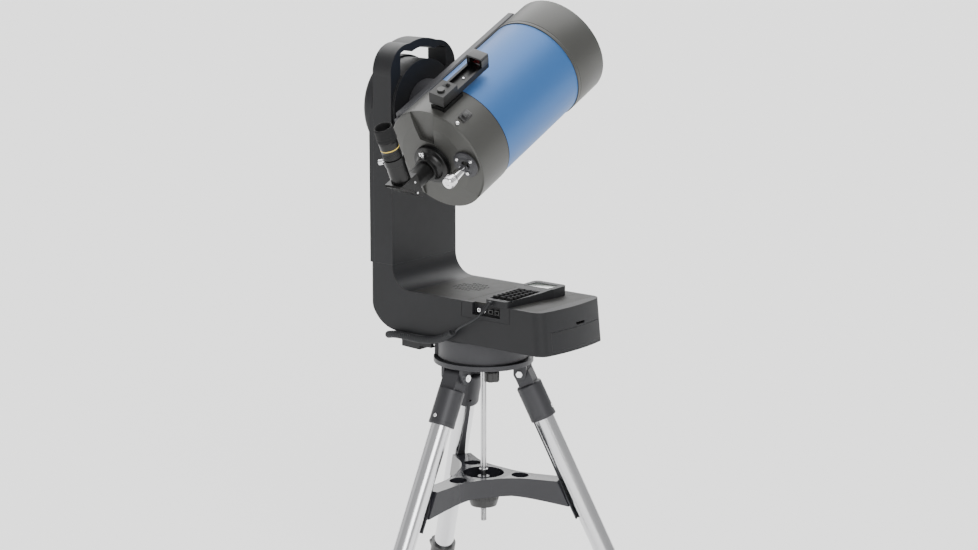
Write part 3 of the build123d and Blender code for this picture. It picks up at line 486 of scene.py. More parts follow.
# ------------------------------------------------------------------ mesh helpers
def soften(points: Profile, radius: float, steps: int = 3) -> list[tuple[float, float]]:
    """Round the inner corners of an open profile.

    Args:
        points: the profile's corners.
        radius: how far from each corner the rounding starts, at most.
        steps: points in each rounding.

    Returns:
        The rounded profile.
    """
    made = [tuple(points[0])]
    for before, here, after in zip(points, points[1:], points[2:]):
        start, corner, end = Vector(before), Vector(here), Vector(after)
        reach = min(radius, 0.45 * (start - corner).length, 0.45 * (end - corner).length)
        first = corner + (start - corner).normalized() * reach
        last = corner + (end - corner).normalized() * reach
        for step in range(steps + 1):
            t = step / steps
            point = first * (1 - t) ** 2 + corner * 2 * t * (1 - t) + last * t ** 2
            made.append((point.x, point.y))
    made.append(tuple(points[-1]))
    return made


def lathe(profile: Profile, segments: int = 128, closed: bool = False,
          start: float = 0.0) -> bmesh.types.BMesh:
    """Turn a profile of (radius, height) about Z.

    Args:
        profile: the profile; a radius of zero at an end makes a pole.
        segments: faces round.
        closed: join the last point to the first, for a ring.
        start: angle of the seam of the UV map.

    Returns:
        The mesh, with U as arc length and V as length along the profile, in metres.
    """
    made = bmesh.new()
    uv = made.loops.layers.uv.new("UVMap")
    points = list(profile) + ([profile[0]] if closed else [])
    widest = max(r for r, _ in points)
    rings: list[list[bmesh.types.BMVert]] = []
    run = [0.0]
    for one, two in zip(points, points[1:]):
        run.append(run[-1] + math.dist(one, two))
    for index, (r, z) in enumerate(points):
        if closed and index == len(points) - 1:
            rings.append(rings[0])
        elif r < 1e-6:
            rings.append([made.verts.new((0.0, 0.0, z))] * segments)
        else:
            angles = (start + 2 * math.pi * i / segments for i in range(segments))
            rings.append([made.verts.new((r * math.cos(a), r * math.sin(a), z)) for a in angles])
    for row, (low, high) in enumerate(zip(rings, rings[1:])):
        for i in range(segments):
            j = (i + 1) % segments
            corners = [(low[i], i, row), (low[j], i + 1, row), (high[j], i + 1, row + 1),
                       (high[i], i, row + 1)]
            kept = []
            for vert, column, level in corners:
                if all(vert is not other for other, _, _ in kept):
                    kept.append((vert, column, level))
            if len(kept) < 3:
                continue
            face = made.faces.new([vert for vert, _, _ in kept])
            for loop, (_, column, level) in zip(face.loops, kept):
                loop[uv].uv = (column / segments * 2 * math.pi * widest * MM, run[level] * MM)
    return made


def add_box(made: bmesh.types.BMesh, low: Sequence[float], high: Sequence[float], radius: float = 1.0,
            segments: int = 3, turn: Optional[Matrix] = None) -> None:
    """Add a block with rounded edges to a mesh.

    Args:
        made: the mesh.
        low: the lowest corner.
        high: the highest corner.
        radius: the rounding of its edges.
        segments: faces across the rounding.
        turn: a matrix for the finished block, if it isn't square to the frame.
    """
    block = bmesh.new()
    bmesh.ops.create_cube(block, size=1.0)
    size = Vector(high) - Vector(low)
    middle = (Vector(high) + Vector(low)) / 2
    bmesh.ops.transform(block, matrix=Matrix.Translation(middle) @ Matrix.Diagonal((*size, 1.0)),
                        verts=block.verts)
    reach = min(radius, 0.49 * min(size))
    if reach > 0:
        bmesh.ops.bevel(block, geom=list(block.edges), offset=reach, segments=segments, profile=0.5,
                        affect="EDGES")
    join(made, block, turn)


def join(made: bmesh.types.BMesh, other: bmesh.types.BMesh, place: Optional[Matrix] = None) -> None:
    """Move a mesh and add it to another, then free it."""
    if place is not None:
        bmesh.ops.transform(other, matrix=place, verts=other.verts)
    carrier = bpy.data.meshes.new("carrier")
    other.to_mesh(carrier)
    other.free()
    made.from_mesh(carrier)
    bpy.data.meshes.remove(carrier)


def place_piece(name: str, made: bmesh.types.BMesh, place: Matrix, finish: Finish, body: str,
                replaces: Iterable[str] = (), crease: float = 32.0, recalc: bool = True) -> bpy.types.Object:
    """Turn a finished mesh into a piece of the telescope.

    Args:
        name: the piece's name.
        made: its mesh, in the units of the frame it was built in.
        place: the matrix of that frame.
        finish: its finish.
        body: the body it rides on.
        replaces: CAD nodes that it stands for.
        crease: edges sharper than this many degrees stay sharp.
        recalc: turn the faces outwards first.

    Returns:
        The new object.
    """
    bmesh.ops.remove_doubles(made, verts=made.verts, dist=1e-5)
    bmesh.ops.transform(made, matrix=place, verts=made.verts)
    if recalc:
        bmesh.ops.recalc_face_normals(made, faces=made.faces)
    data = bpy.data.meshes.new(name)
    made.to_mesh(data)
    made.free()
    data.shade_smooth()
    data.set_sharp_from_angle(angle=math.radians(crease))
    data.materials.append(finish.material())
    piece = bpy.data.objects.new(name, data)
    bpy.context.scene.collection.objects.link(piece)
    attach(piece, body)
    names = list(replaces)
    if names:
        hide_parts(*names)
    log.info("made %s with %d faces", name, len(data.polygons))
    return piece


# ------------------------------------------------------------------ repeats
class RoundRow:
    """A Geometry Nodes tree that sets copies of a shape round a circle."""

    _tree: Optional[bpy.types.NodeTree] = None

    @classmethod
    def tree(cls) -> bpy.types.NodeTree:
        """Build the tree the first time it is asked for."""
        if cls._tree is not None:
            return cls._tree
        made = bpy.data.node_groups.new("RoundRow", "GeometryNodeTree")
        face = made.interface
        face.new_socket("Geometry", in_out="INPUT", socket_type="NodeSocketGeometry")
        face.new_socket("Shape", in_out="INPUT", socket_type="NodeSocketObject")
        face.new_socket("Count", in_out="INPUT", socket_type="NodeSocketInt")
        face.new_socket("Radius", in_out="INPUT", socket_type="NodeSocketFloat")
        face.new_socket("Material", in_out="INPUT", socket_type="NodeSocketMaterial")
        face.new_socket("Geometry", in_out="OUTPUT", socket_type="NodeSocketGeometry")
        nodes, links = made.nodes, made.links
        entry, leave = nodes.new("NodeGroupInput"), nodes.new("NodeGroupOutput")
        circle = nodes.new("GeometryNodeMeshCircle")
        shape = nodes.new("GeometryNodeObjectInfo")
        copies = nodes.new("GeometryNodeInstanceOnPoints")
        index, step = nodes.new("GeometryNodeInputIndex"), nodes.new("ShaderNodeMath")
        angle, turn = nodes.new("ShaderNodeMath"), nodes.new("ShaderNodeCombineXYZ")
        real, paint = nodes.new("GeometryNodeRealizeInstances"), nodes.new("GeometryNodeSetMaterial")
        step.operation = "DIVIDE"
        step.inputs[0].default_value = 2 * math.pi
        angle.operation = "MULTIPLY"
        links.new(entry.outputs["Count"], step.inputs[1])
        links.new(step.outputs[0], angle.inputs[0])
        links.new(index.outputs[0], angle.inputs[1])
        links.new(angle.outputs[0], turn.inputs["Z"])
        links.new(entry.outputs["Count"], circle.inputs["Vertices"])
        links.new(entry.outputs["Radius"], circle.inputs["Radius"])
        links.new(entry.outputs["Shape"], shape.inputs["Object"])
        links.new(circle.outputs["Mesh"], copies.inputs["Points"])
        links.new(shape.outputs["Geometry"], copies.inputs["Instance"])
        links.new(turn.outputs[0], copies.inputs["Rotation"])
        links.new(copies.outputs[0], real.inputs[0])
        links.new(real.outputs[0], paint.inputs["Geometry"])
        links.new(entry.outputs["Material"], paint.inputs["Material"])
        links.new(paint.outputs[0], leave.inputs[0])
        cls._tree = made
        return made

    @classmethod
    def make(cls, shape: bmesh.types.BMesh, count: int, radius: float, finish: Finish) -> bmesh.types.BMesh:
        """Set copies of a shape round Z.

        Args:
            shape: the shape, about the origin, with +X outwards; it is freed.
            count: how many copies.
            radius: of the circle they stand on.
            finish: the finish of the copies.

        Returns:
            All the copies as one mesh.
        """
        values = {"Count": count, "Radius": radius, "Material": finish.material()}
        return run_tree(cls.tree(), shape, values)


class GridRow:
    """A Geometry Nodes tree that sets copies of a shape on a rectangular grid."""

    _tree: Optional[bpy.types.NodeTree] = None

    @classmethod
    def tree(cls) -> bpy.types.NodeTree:
        """Build the tree the first time it is asked for."""
        if cls._tree is not None:
            return cls._tree
        made = bpy.data.node_groups.new("GridRow", "GeometryNodeTree")
        face = made.interface
        face.new_socket("Geometry", in_out="INPUT", socket_type="NodeSocketGeometry")
        face.new_socket("Shape", in_out="INPUT", socket_type="NodeSocketObject")
        for label in ("Columns", "Rows"):
            face.new_socket(label, in_out="INPUT", socket_type="NodeSocketInt")
        for label in ("Width", "Depth"):
            face.new_socket(label, in_out="INPUT", socket_type="NodeSocketFloat")
        face.new_socket("Material", in_out="INPUT", socket_type="NodeSocketMaterial")
        face.new_socket("Geometry", in_out="OUTPUT", socket_type="NodeSocketGeometry")
        nodes, links = made.nodes, made.links
        entry, leave = nodes.new("NodeGroupInput"), nodes.new("NodeGroupOutput")
        grid, shape = nodes.new("GeometryNodeMeshGrid"), nodes.new("GeometryNodeObjectInfo")
        copies, real = nodes.new("GeometryNodeInstanceOnPoints"), nodes.new("GeometryNodeRealizeInstances")
        paint = nodes.new("GeometryNodeSetMaterial")
        for label, socket in (("Columns", "Vertices X"), ("Rows", "Vertices Y"), ("Width", "Size X"),
                              ("Depth", "Size Y")):
            links.new(entry.outputs[label], grid.inputs[socket])
        links.new(entry.outputs["Shape"], shape.inputs["Object"])
        links.new(grid.outputs["Mesh"], copies.inputs["Points"])
        links.new(shape.outputs["Geometry"], copies.inputs["Instance"])
        links.new(copies.outputs[0], real.inputs[0])
        links.new(real.outputs[0], paint.inputs["Geometry"])
        links.new(entry.outputs["Material"], paint.inputs["Material"])
        links.new(paint.outputs[0], leave.inputs[0])
        cls._tree = made
        return made

    @classmethod
    def make(cls, shape: bmesh.types.BMesh, columns: int, rows: int, width: float, depth: float,
             finish: Finish) -> bmesh.types.BMesh:
        """Set copies of a shape on a grid about the origin, in XY.

        Args:
            shape: the shape, about the origin; it is freed.
            columns: copies along X.
            rows: copies along Y.
            width: from the first column to the last.
            depth: from the first row to the last.
            finish: the finish of the copies.

        Returns:
            All the copies as one mesh.
        """
        values = {"Columns": columns, "Rows": rows, "Width": width, "Depth": depth,
                  "Material": finish.material()}
        return run_tree(cls.tree(), shape, values)


def run_tree(tree: bpy.types.NodeTree, shape: bmesh.types.BMesh,
             values: dict[str, object]) -> bmesh.types.BMesh:
    """Run a Geometry Nodes tree on a shape and return its result as a mesh.

    Args:
        tree: the tree, which has a Shape input.
        shape: the shape to repeat; it is freed.
        values: the other inputs, by name.

    Returns:
        The result.
    """
    data = bpy.data.meshes.new("shape")
    shape.to_mesh(data)
    shape.free()
    pattern = bpy.data.objects.new("shape", data)
    host = bpy.data.objects.new("host", bpy.data.meshes.new("host"))
    for item in (pattern, host):
        bpy.context.scene.collection.objects.link(item)
    modifier = host.modifiers.new("repeat", "NODES")
    modifier.node_group = tree
    wanted = {**values, "Shape": pattern}
    for socket in tree.interface.items_tree:
        if socket.in_out == "INPUT" and socket.name in wanted:
            modifier[socket.identifier] = wanted[socket.name]
    bpy.context.view_layer.update()
    result = bpy.data.meshes.new_from_object(host.evaluated_get(bpy.context.evaluated_depsgraph_get()))
    made = bmesh.new()
    made.from_mesh(result)
    host.modifiers.remove(modifier)
    for item in (pattern, host):
        old = item.data
        bpy.data.objects.remove(item)
        bpy.data.meshes.remove(old)
    bpy.data.meshes.remove(result)
    return made


# ------------------------------------------------------------------ stage
@dataclass
class Stage:
    """The floor, the studio light and the camera."""

    azimuth: float = 38.98
    elevation: float = 11.94
    distance: float = 5301.9
    lens: float = 90.17
    aim: Vector = field(default_factory=lambda: Vector((9.18, 7.43, 133.71)))
    floor_half: float = 60.0
    floor_colour: Colour = (0.92, 0.92, 0.915)

    def build(self) -> None:
        """Make the camera first, then the floor and the lights."""
        self.make_camera()
        self.make_floor()
        self.make_world()
        self.make_sun("sky_panel", (-0.35, 0.55, 1.0), 80.0, 5.2)
        self.make_sun("front_panel", (0.9, -0.75, 0.6), 35.0, 1.9)
        self.make_lamp("side_panel", (-3.4, -1.9, 1.5), 2.4, 7.0)
        log.info("stage is set")

    def back(self) -> Vector:
        """The direction from the object to the camera."""
        a, e = math.radians(self.azimuth), math.radians(self.elevation)
        return Vector((math.sin(a) * math.cos(e), -math.cos(a) * math.cos(e), math.sin(e)))

    def make_camera(self) -> None:
        """A camera level with the horizon, aimed at the middle of the view."""
        data = bpy.data.cameras.new("camera")
        data.lens = self.lens
        camera = bpy.data.objects.new("camera", data)
        bpy.context.scene.collection.objects.link(camera)
        aim = PLACES.mount() @ self.aim
        camera.location = aim + self.back() * self.distance * MM
        camera.rotation_mode = "QUATERNION"
        camera.rotation_quaternion = (-self.back()).to_track_quat("-Z", "Y")
        bpy.context.scene.camera = camera

    def make_floor(self) -> None:
        """A plain pale floor under the feet."""
        made = bmesh.new()
        bmesh.ops.create_grid(made, x_segments=1, y_segments=1, size=self.floor_half)
        data = bpy.data.meshes.new("floor")
        made.to_mesh(data)
        made.free()
        paint = bpy.data.materials.new("floor")
        paint.use_nodes = True
        shader = paint.node_tree.nodes["Principled BSDF"]
        shader.inputs["Base Color"].default_value = (*self.floor_colour, 1.0)
        shader.inputs["Roughness"].default_value = 0.8
        data.materials.append(paint)
        floor = bpy.data.objects.new("floor", data)
        bpy.context.scene.collection.objects.link(floor)

    def make_world(self) -> None:
        """Even pale light from all round."""
        world = bpy.data.worlds.new("studio")
        world.use_nodes = True
        sky = world.node_tree.nodes["Background"]
        sky.inputs["Color"].default_value = (1.0, 1.0, 1.0, 1.0)
        sky.inputs["Strength"].default_value = 0.55
        bpy.context.scene.world = world

    @staticmethod
    def make_sun(name: str, towards: tuple[float, float, float], spread: float, strength: float) -> None:
        """A broad even light from one direction, which reaches the whole floor.

        Args:
            name: the lamp's name.
            towards: the direction from the object to the light.
            spread: how wide the light looks, in degrees.
            strength: its irradiance.
        """
        data = bpy.data.lights.new(name, "SUN")
        data.angle = math.radians(spread)
        data.energy = strength
        lamp = bpy.data.objects.new(name, data)
        bpy.context.scene.collection.objects.link(lamp)
        lamp.rotation_mode = "QUATERNION"
        lamp.rotation_quaternion = (-Vector(towards)).to_track_quat("-Z", "Y")

    def make_lamp(self, name: str, place: tuple[float, float, float], size: float, power: float) -> None:
        """A soft square lamp aimed at the middle of the object.

        Args:
            name: the lamp's name.
            place: where it stands, in metres.
            size: its side.
            power: its power in watts.
        """
        data = bpy.data.lights.new(name, "AREA")
        data.shape = "SQUARE"
        data.size = size
        data.energy = power
        lamp = bpy.data.objects.new(name, data)
        bpy.context.scene.collection.objects.link(lamp)
        lamp.location = place
        aim = (PLACES.mount() @ self.aim) - lamp.location
        lamp.rotation_mode = "QUATERNION"
        lamp.rotation_quaternion = aim.to_track_quat("-Z", "Y")


# ------------------------------------------------------------------ cord
@dataclass
class HandsetCord:
    """The handset's curly cord: a straight lead, the coil and its plug."""

    radius: float = 2.0
    coil_radius: float = 8.3
    pitch: float = 5.3
    per_turn: int = 12
    lead: tuple = ((98, -127, 86), (89.6, -130.9, 73.7), (62, -132, 58), (36, -129, 44.5), (16, -125, 31.5))
    coil: tuple = ((16, -125, 31.5), (-4, -121, 18.5), (-30, -120.5, 7.5), (-62, -121, 2), (-96, -120.5, 1),
                   (-128, -121.5, 3), (-156, -119.5, 1.5), (-178, -111, -4.5), (-190, -94, -9),
                   (-190, -68.8, -13), (-188, -50, -13))

    def build(self) -> None:
        """Make the plug, then the cord that ends in it."""
        place = PLACES.mount()
        plug = self.make_plug(place)
        route = [place @ Vector(point) for point in self.lead[:-1]]
        route += [place @ point for point in self.helix()]
        route += [place @ Vector(self.coil[-1]).lerp(Vector(self.coil[-2]), part) for part in (0.3, 0.0)]
        data = self.spline_curve("handset_cord", route)
        data.bevel_depth = self.radius * MM
        data.bevel_resolution = 3
        data.resolution_u = 2
        data.use_fill_caps = True
        data.materials.append(CORD_RUBBER.material())
        cord = bpy.data.objects.new("handset_cord", data)
        bpy.context.scene.collection.objects.link(cord)
        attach(cord, "base")
        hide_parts("cord_lead", "cord_coil")
        self.length(route)
        log.info("cord has %d control points", len(route))

    @staticmethod
    def spline_curve(name: str, route: Sequence[Vector]) -> bpy.types.Curve:
        """A curve of one smooth spline with the route's points as its control points."""
        data = bpy.data.curves.new(name, "CURVE")
        data.dimensions = "3D"
        spline = data.splines.new("NURBS")
        spline.points.add(len(route) - 1)
        for point, where in zip(spline.points, route):
            point.co = (*where, 1.0)
        spline.order_u = 3
        spline.use_endpoint_u = True
        return data

    def along(self, route: Sequence[Vector]) -> list[Vector]:
        """Points read along the smooth line of a route."""
        data = self.spline_curve("line", route)
        data.resolution_u = 24
        carrier = bpy.data.objects.new("line", data)
        bpy.context.scene.collection.objects.link(carrier)
        bpy.context.view_layer.update()
        line = bpy.data.meshes.new_from_object(carrier.evaluated_get(bpy.context.evaluated_depsgraph_get()))
        points = [vertex.co.copy() for vertex in line.vertices]
        bpy.data.objects.remove(carrier)
        bpy.data.curves.remove(data)
        bpy.data.meshes.remove(line)
        return points

    def length(self, route: Sequence[Vector]) -> float:
        """The length of a route's smooth line, in metres."""
        points = self.along(route)
        return sum((b - a).length for a, b in zip(points, points[1:]))

    def helix(self) -> list[Vector]:
        """The turns of the coil, worked out along its smooth line."""
        line = self.along([Vector(point) for point in self.coil])
        run = [0.0]
        for a, b in zip(line, line[1:]):
            run.append(run[-1] + (b - a).length)
        total = run[-1]
        turns = int(total / self.pitch)
        count = turns * self.per_turn
        reach = self.coil_radius - self.radius
        side = Vector((0.0, 0.0, 1.0))
        made: list[Vector] = []
        place = 0
        for step in range(self.per_turn // 3, count - self.per_turn - self.per_turn // 2):
            where = total * step / count
            while place < len(run) - 2 and run[place + 1] < where:
                place += 1
            part = (where - run[place]) / max(1e-9, run[place + 1] - run[place])
            centre = line[place].lerp(line[place + 1], part)
            ahead = (line[place + 1] - line[place]).normalized()
            side = (side - ahead * side.dot(ahead)).normalized()
            other = ahead.cross(side)
            angle = 2 * math.pi * step / self.per_turn
            made.append(centre + reach * (side * math.cos(angle) + other * math.sin(angle)))
        return made

    def make_plug(self, place: Matrix) -> bpy.types.Object:
        """The ribbed plug that goes into the socket under the arm."""
        end = Vector(self.coil[-1])
        way = (end - Vector(self.coil[-2])).normalized()
        stand = place @ Matrix.Translation(end) @ way.to_track_quat("Z", "Y").to_matrix().to_4x4()
        profile = soften([(0.0, -0.5), (3.2, -0.5), (4.2, 0.5), (4.2, 2.6), (6.4, 3.2), (6.4, 9.0),
                          (4.5, 9.4),
                          (4.5, 13.9), (0.0, 13.9)], 0.6)
        made = lathe(profile, 48)
        return place_piece("handset_plug", made, stand, RUBBER, "base", ["cord_plug"])


# ------------------------------------------------------------------ optical tube
@dataclass
class OpticalTube:
    """The painted tube with its front cell, corrector and secondary."""

    radius: float = 115.5
    cell_radius: float = 117.6
    rear: float = -97.3
    front_seam: float = 177.1
    front_end: float = 275.7
    glass: float = 240.6

    def build(self) -> None:
        """Make the tube's skin, the front cell and the secondary's trim."""
        place = PLACES.tube()
        wall = 2.0
        skin = lathe([(self.radius, self.rear), (self.radius, self.front_seam + 8),
                      (self.radius - wall, self.front_seam + 8), (self.radius - wall, self.rear)], 256,
                     closed=True)
        place_piece("tube_skin", skin, place, TUBE_BLUE, "telescope", ["optical_tube"])
        self.make_front_cell(place)
        self.make_secondary(place)

    def make_front_cell(self, place: Matrix) -> None:
        """The cast ring that holds the corrector, with its rolled rim and fine inner steps."""
        r, end, seam = self.cell_radius, self.front_end, self.front_seam
        outside = soften([(self.radius + 0.05, seam), (r, seam + 0.2), (r, seam + 7), (r - 0.7, seam + 7.5),
                          (r - 0.7, seam + 9.0), (r, seam + 9.5), (r, end), (110, end), (109, end - 8)], 1.6)
        steps = []
        count, pitch = 6, 4.2
        for i in range(count):
            z = end - 8 - i * pitch
            steps += [(109.0 - 0.25 * i, z), (108.2 - 0.25 * i, z - 0.8), (108.2 - 0.25 * i, z - pitch + 0.8)]
        inside = [(105.0, self.glass + 1), (105.0, self.glass - 5.0), (100, self.glass - 5.0),
                  (100, seam + 8), (self.radius + 0.05, seam + 8)]
        cell = lathe([*outside, *steps, *inside], 256, closed=True)
        place_piece("front_cell_casting", cell, place, CELL_PAINT, "telescope", ["front_cell"])
        ring = lathe(soften([(104.8, self.glass + 0.3), (104.8, self.glass + 3.4), (99, self.glass + 3.4),
                             (98, self.glass + 0.3)], 0.8), 192, closed=True)
        place_piece("corrector_ring", ring, place, BLACK_PAINT, "telescope")
        screw = lathe(soften([(0, 2.4), (1.9, 2.4), (2.6, 1.8), (2.6, 0.0), (0, 0)], 0.3), 20)
        row = RoundRow.make(screw, 8, 101.6, CHROME)
        bmesh.ops.translate(row, vec=(0, 0, self.glass + 3.2), verts=row.verts)
        place_piece("corrector_screws", row, place, CHROME, "telescope")

    def make_secondary(self, place: Matrix) -> None:
        """The cover over the secondary, with three small screws."""
        front = self.glass + 11.0
        cap = lathe(soften([(39.6, self.glass + 1.0), (39.6, front - 6), (35.5, front), (30, front),
                            (29, front - 0.8),
                            (0, front - 0.8)], 1.0), 128)
        place_piece("secondary_cap", cap, place, BLACK_PAINT, "telescope", recalc=True)
        screw = lathe([(0, 1.2), (2.3, 1.2), (2.8, 0.7), (2.8, 0.0), (0, 0)], 24)
        row = RoundRow.make(screw, 3, 21.0, CHROME)
        bmesh.ops.translate(row, vec=(0, 0, front - 0.9), verts=row.verts)
        place_piece("secondary_screws", row, place, CHROME, "telescope")


# ------------------------------------------------------------------ finder and rear cell
@dataclass
class FinderTrim:
    """The dot finder's window, lens hood, switch and latch, and the rear cell's trim."""

    turn: float = 15.0
    seat: float = 131.6

    def build(self) -> None:
        """Make the finder's small parts, then the rear cell's."""
        place = PLACES.tube()
        finder = place @ Matrix.Rotation(math.radians(self.turn), 4, "Z")
        self.make_window(finder)
        self.make_controls(finder)
        self.make_latch(place)
        self.make_cell_trim(place)

    def make_window(self, place: Matrix) -> None:
        """The tinted window in the front frame, with a chamfered hood round it."""
        base = self.seat
        glass = bmesh.new()
        add_box(glass, (-12.8, base + 7, -16.4), (12.8, base + 29.5, -14.8), 0.4, 2)
        place_piece("finder_window", glass, place, RED_LENS, "telescope")
        hood = bmesh.new()
        for low, high in (((-18.9, base + 31.0, -33.0), (18.9, base + 35.0, -5.2)),
                          ((-19.4, base + 12.0, -31.5), (-18.2, base + 30.0, -6.0)),
                          ((18.2, base + 12.0, -31.5), (19.4, base + 30.0, -6.0))):
            add_box(hood, low, high, 1.6, 4)
        place_piece("finder_hood", hood, place, KNOB_BLACK, "telescope")

    def make_controls(self, place: Matrix) -> None:
        """The slide switch, its slot as a near-black strip of painted shadow, and two adjusting screws."""
        base = self.seat
        # Painted shadow: a thin near-black strip stands in for the shade in the switch's slot.
        slot = bmesh.new()
        add_box(slot, (-8.0, base + 25.2, -136.0), (8.0, base + 26.3, -124.0), 0.4, 2)
        place_piece("finder_switch_slot", slot, place, SEAM_SHADOW, "telescope")
        knob = bmesh.new()
        add_box(knob, (-6.5, base + 25.8, -133.5), (0.5, base + 29.2, -126.5), 0.9, 3)
        for ridge in range(4):
            x = -5.6 + ridge * 1.6
            add_box(knob, (x, base + 28.8, -133.0), (x + 0.7, base + 29.8, -127.0), 0.25, 2)
        place_piece("finder_switch", knob, place, RUBBER, "telescope")
        screw = lathe(soften([(0, 1.4), (2.4, 1.4), (3.2, 0.6), (3.2, -0.6), (0, -0.6)], 0.3), 28)
        for name, z in (("rear", -104.0), ("mid", -72.0)):
            spot = place @ Matrix.Translation((0, base + 6.4, z)) @ Matrix.Rotation(-math.pi / 2, 4, "X")
            place_piece(f"finder_screw_{name}", screw.copy(), spot, STEEL, "telescope")
        screw.free()

    def make_latch(self, place: Matrix) -> None:
        """A small black bracket beside the finder, held by one bright screw."""
        stand = place @ Matrix.Rotation(math.radians(41.0), 4, "Z")
        block = bmesh.new()
        add_box(block, (-9.0, 115.5, -158.0), (9.0, 121.5, -128.0), 2.2, 4)
        add_box(block, (-5.5, 119.0, -152.0), (5.5, 127.5, -140.0), 1.8, 4)
        place_piece("cell_bracket", block, stand, KNOB_BLACK, "telescope")
        screw = lathe(soften([(0, 4.2), (3.4, 4.0), (4.4, 2.6), (4.4, -0.6), (0, -0.6)], 0.5), 36)
        spot = stand @ Matrix.Translation((0, 117.6, -172.0)) @ Matrix.Rotation(-math.pi / 2, 4, "X")
        place_piece("cell_bracket_screw", screw, spot, CHROME, "telescope")

    def make_cell_trim(self, place: Matrix) -> None:
        """The rear cell's smooth painted side, and the fine bead where it meets the tube, near-black as
        painted shadow in the joint.
        """
        side = lathe([(117.72, -180.6), (117.72, -90.3), (117.3, -90.3), (117.3, -180.6)], 256, closed=True)
        place_piece("rear_cell_side", side, place, CELL_PAINT, "telescope")
        # Painted shadow: the bead is near-black to stand in for the shade in the joint between cell and tube.
        bead = lathe(soften([(115.7, -89.6), (117.5, -89.2), (117.5, -87.6), (115.7, -87.0)], 0.4), 256)
        place_piece("rear_cell_bead", bead, place, SEAM_SHADOW, "telescope", recalc=False)


# ------------------------------------------------------------------ focuser
@dataclass
class Focuser:
    """The chrome focus knob and the plate it turns in."""

    side: float = -86.0
    seat: float = -192.4
    plate_radius: float = 29.6
    plate_up: float = 4.0

    def build(self) -> None:
        """Make the knob, its flutes, the plate and the plate's screws."""
        place = PLACES.tube()
        self.make_knob(place @ Matrix.Translation((self.side, 0, 0)))
        self.make_plate(place)

    def make_knob(self, place: Matrix) -> None:
        """A turned, tapered knob with fluted grip."""
        z = self.seat - 4.4
        profile = soften([(0, -160.2), (3.1, -160.2), (3.1, z), (7.3, z), (7.6, z - 2.6), (9.3, z - 3.4),
                          (9.6, z - 12), (11.8, z - 43), (12.9, z - 45), (13.2, z - 46),
                          (13.3, z - 61), (12, z - 64.8), (4.5, z - 64.9), (4.0, z - 64.2), (0, z - 64.2)],
                         0.7)
        knob = lathe(profile, 96)
        place_piece("focus_knob_turned", knob, place, TURNED_CHROME, "focus_knob",
                    ["focus_knob"])
        rib = bmesh.new()
        add_box(rib, (-0.5, -0.45, z - 60.0), (0.25, 0.45, z - 47.5), 0.25, 2)
        ribs = RoundRow.make(rib, 48, 13.2, CHROME)
        place_piece("focus_knob_ribs", ribs, place, CHROME, "focus_knob")

    def make_plate(self, place: Matrix) -> None:
        """A round black plate held by three slotted chrome screws."""
        z = self.seat
        stand = place @ Matrix.Translation((self.side, self.plate_up, 0))
        disc = lathe(soften([(self.plate_radius, z), (self.plate_radius, z - 3.9), (22, z - 4.0),
                             (21.4, z - 3.2),
                             (15.5, z - 3.2), (15, z - 4.0), (9.5, z - 4.0), (9.0, z - 3.0)], 0.7), 96)
        place_piece("focus_plate_disc", disc, stand, BLACK_PAINT, "telescope",
                    ["focus_plate"],
                    recalc=False)
        for number, angle in enumerate((35, 150, 270), start=1):
            head = lathe(soften([(0, -2.1), (3.3, -2.1), (4.0, -1.2), (4.0, 0.2), (0, 0.2)], 0.4), 40)
            spot = stand @ Matrix.Rotation(math.radians(angle), 4, "Z") @ Matrix.Translation((21, 0, z - 3.9))
            place_piece(f"focus_plate_screw_{number}", head, spot, CHROME, "telescope")
            # Painted shadow: each slot is a near-black block standing in for the shade inside the screw's
            # slot.
            slot = bmesh.new()
            add_box(slot, (-3.4, -0.45, -2.25), (3.4, 0.45, -1.6), 0.1, 1)
            place_piece(f"focus_plate_slot_{number}", slot, spot, SEAM_SHADOW, "telescope")


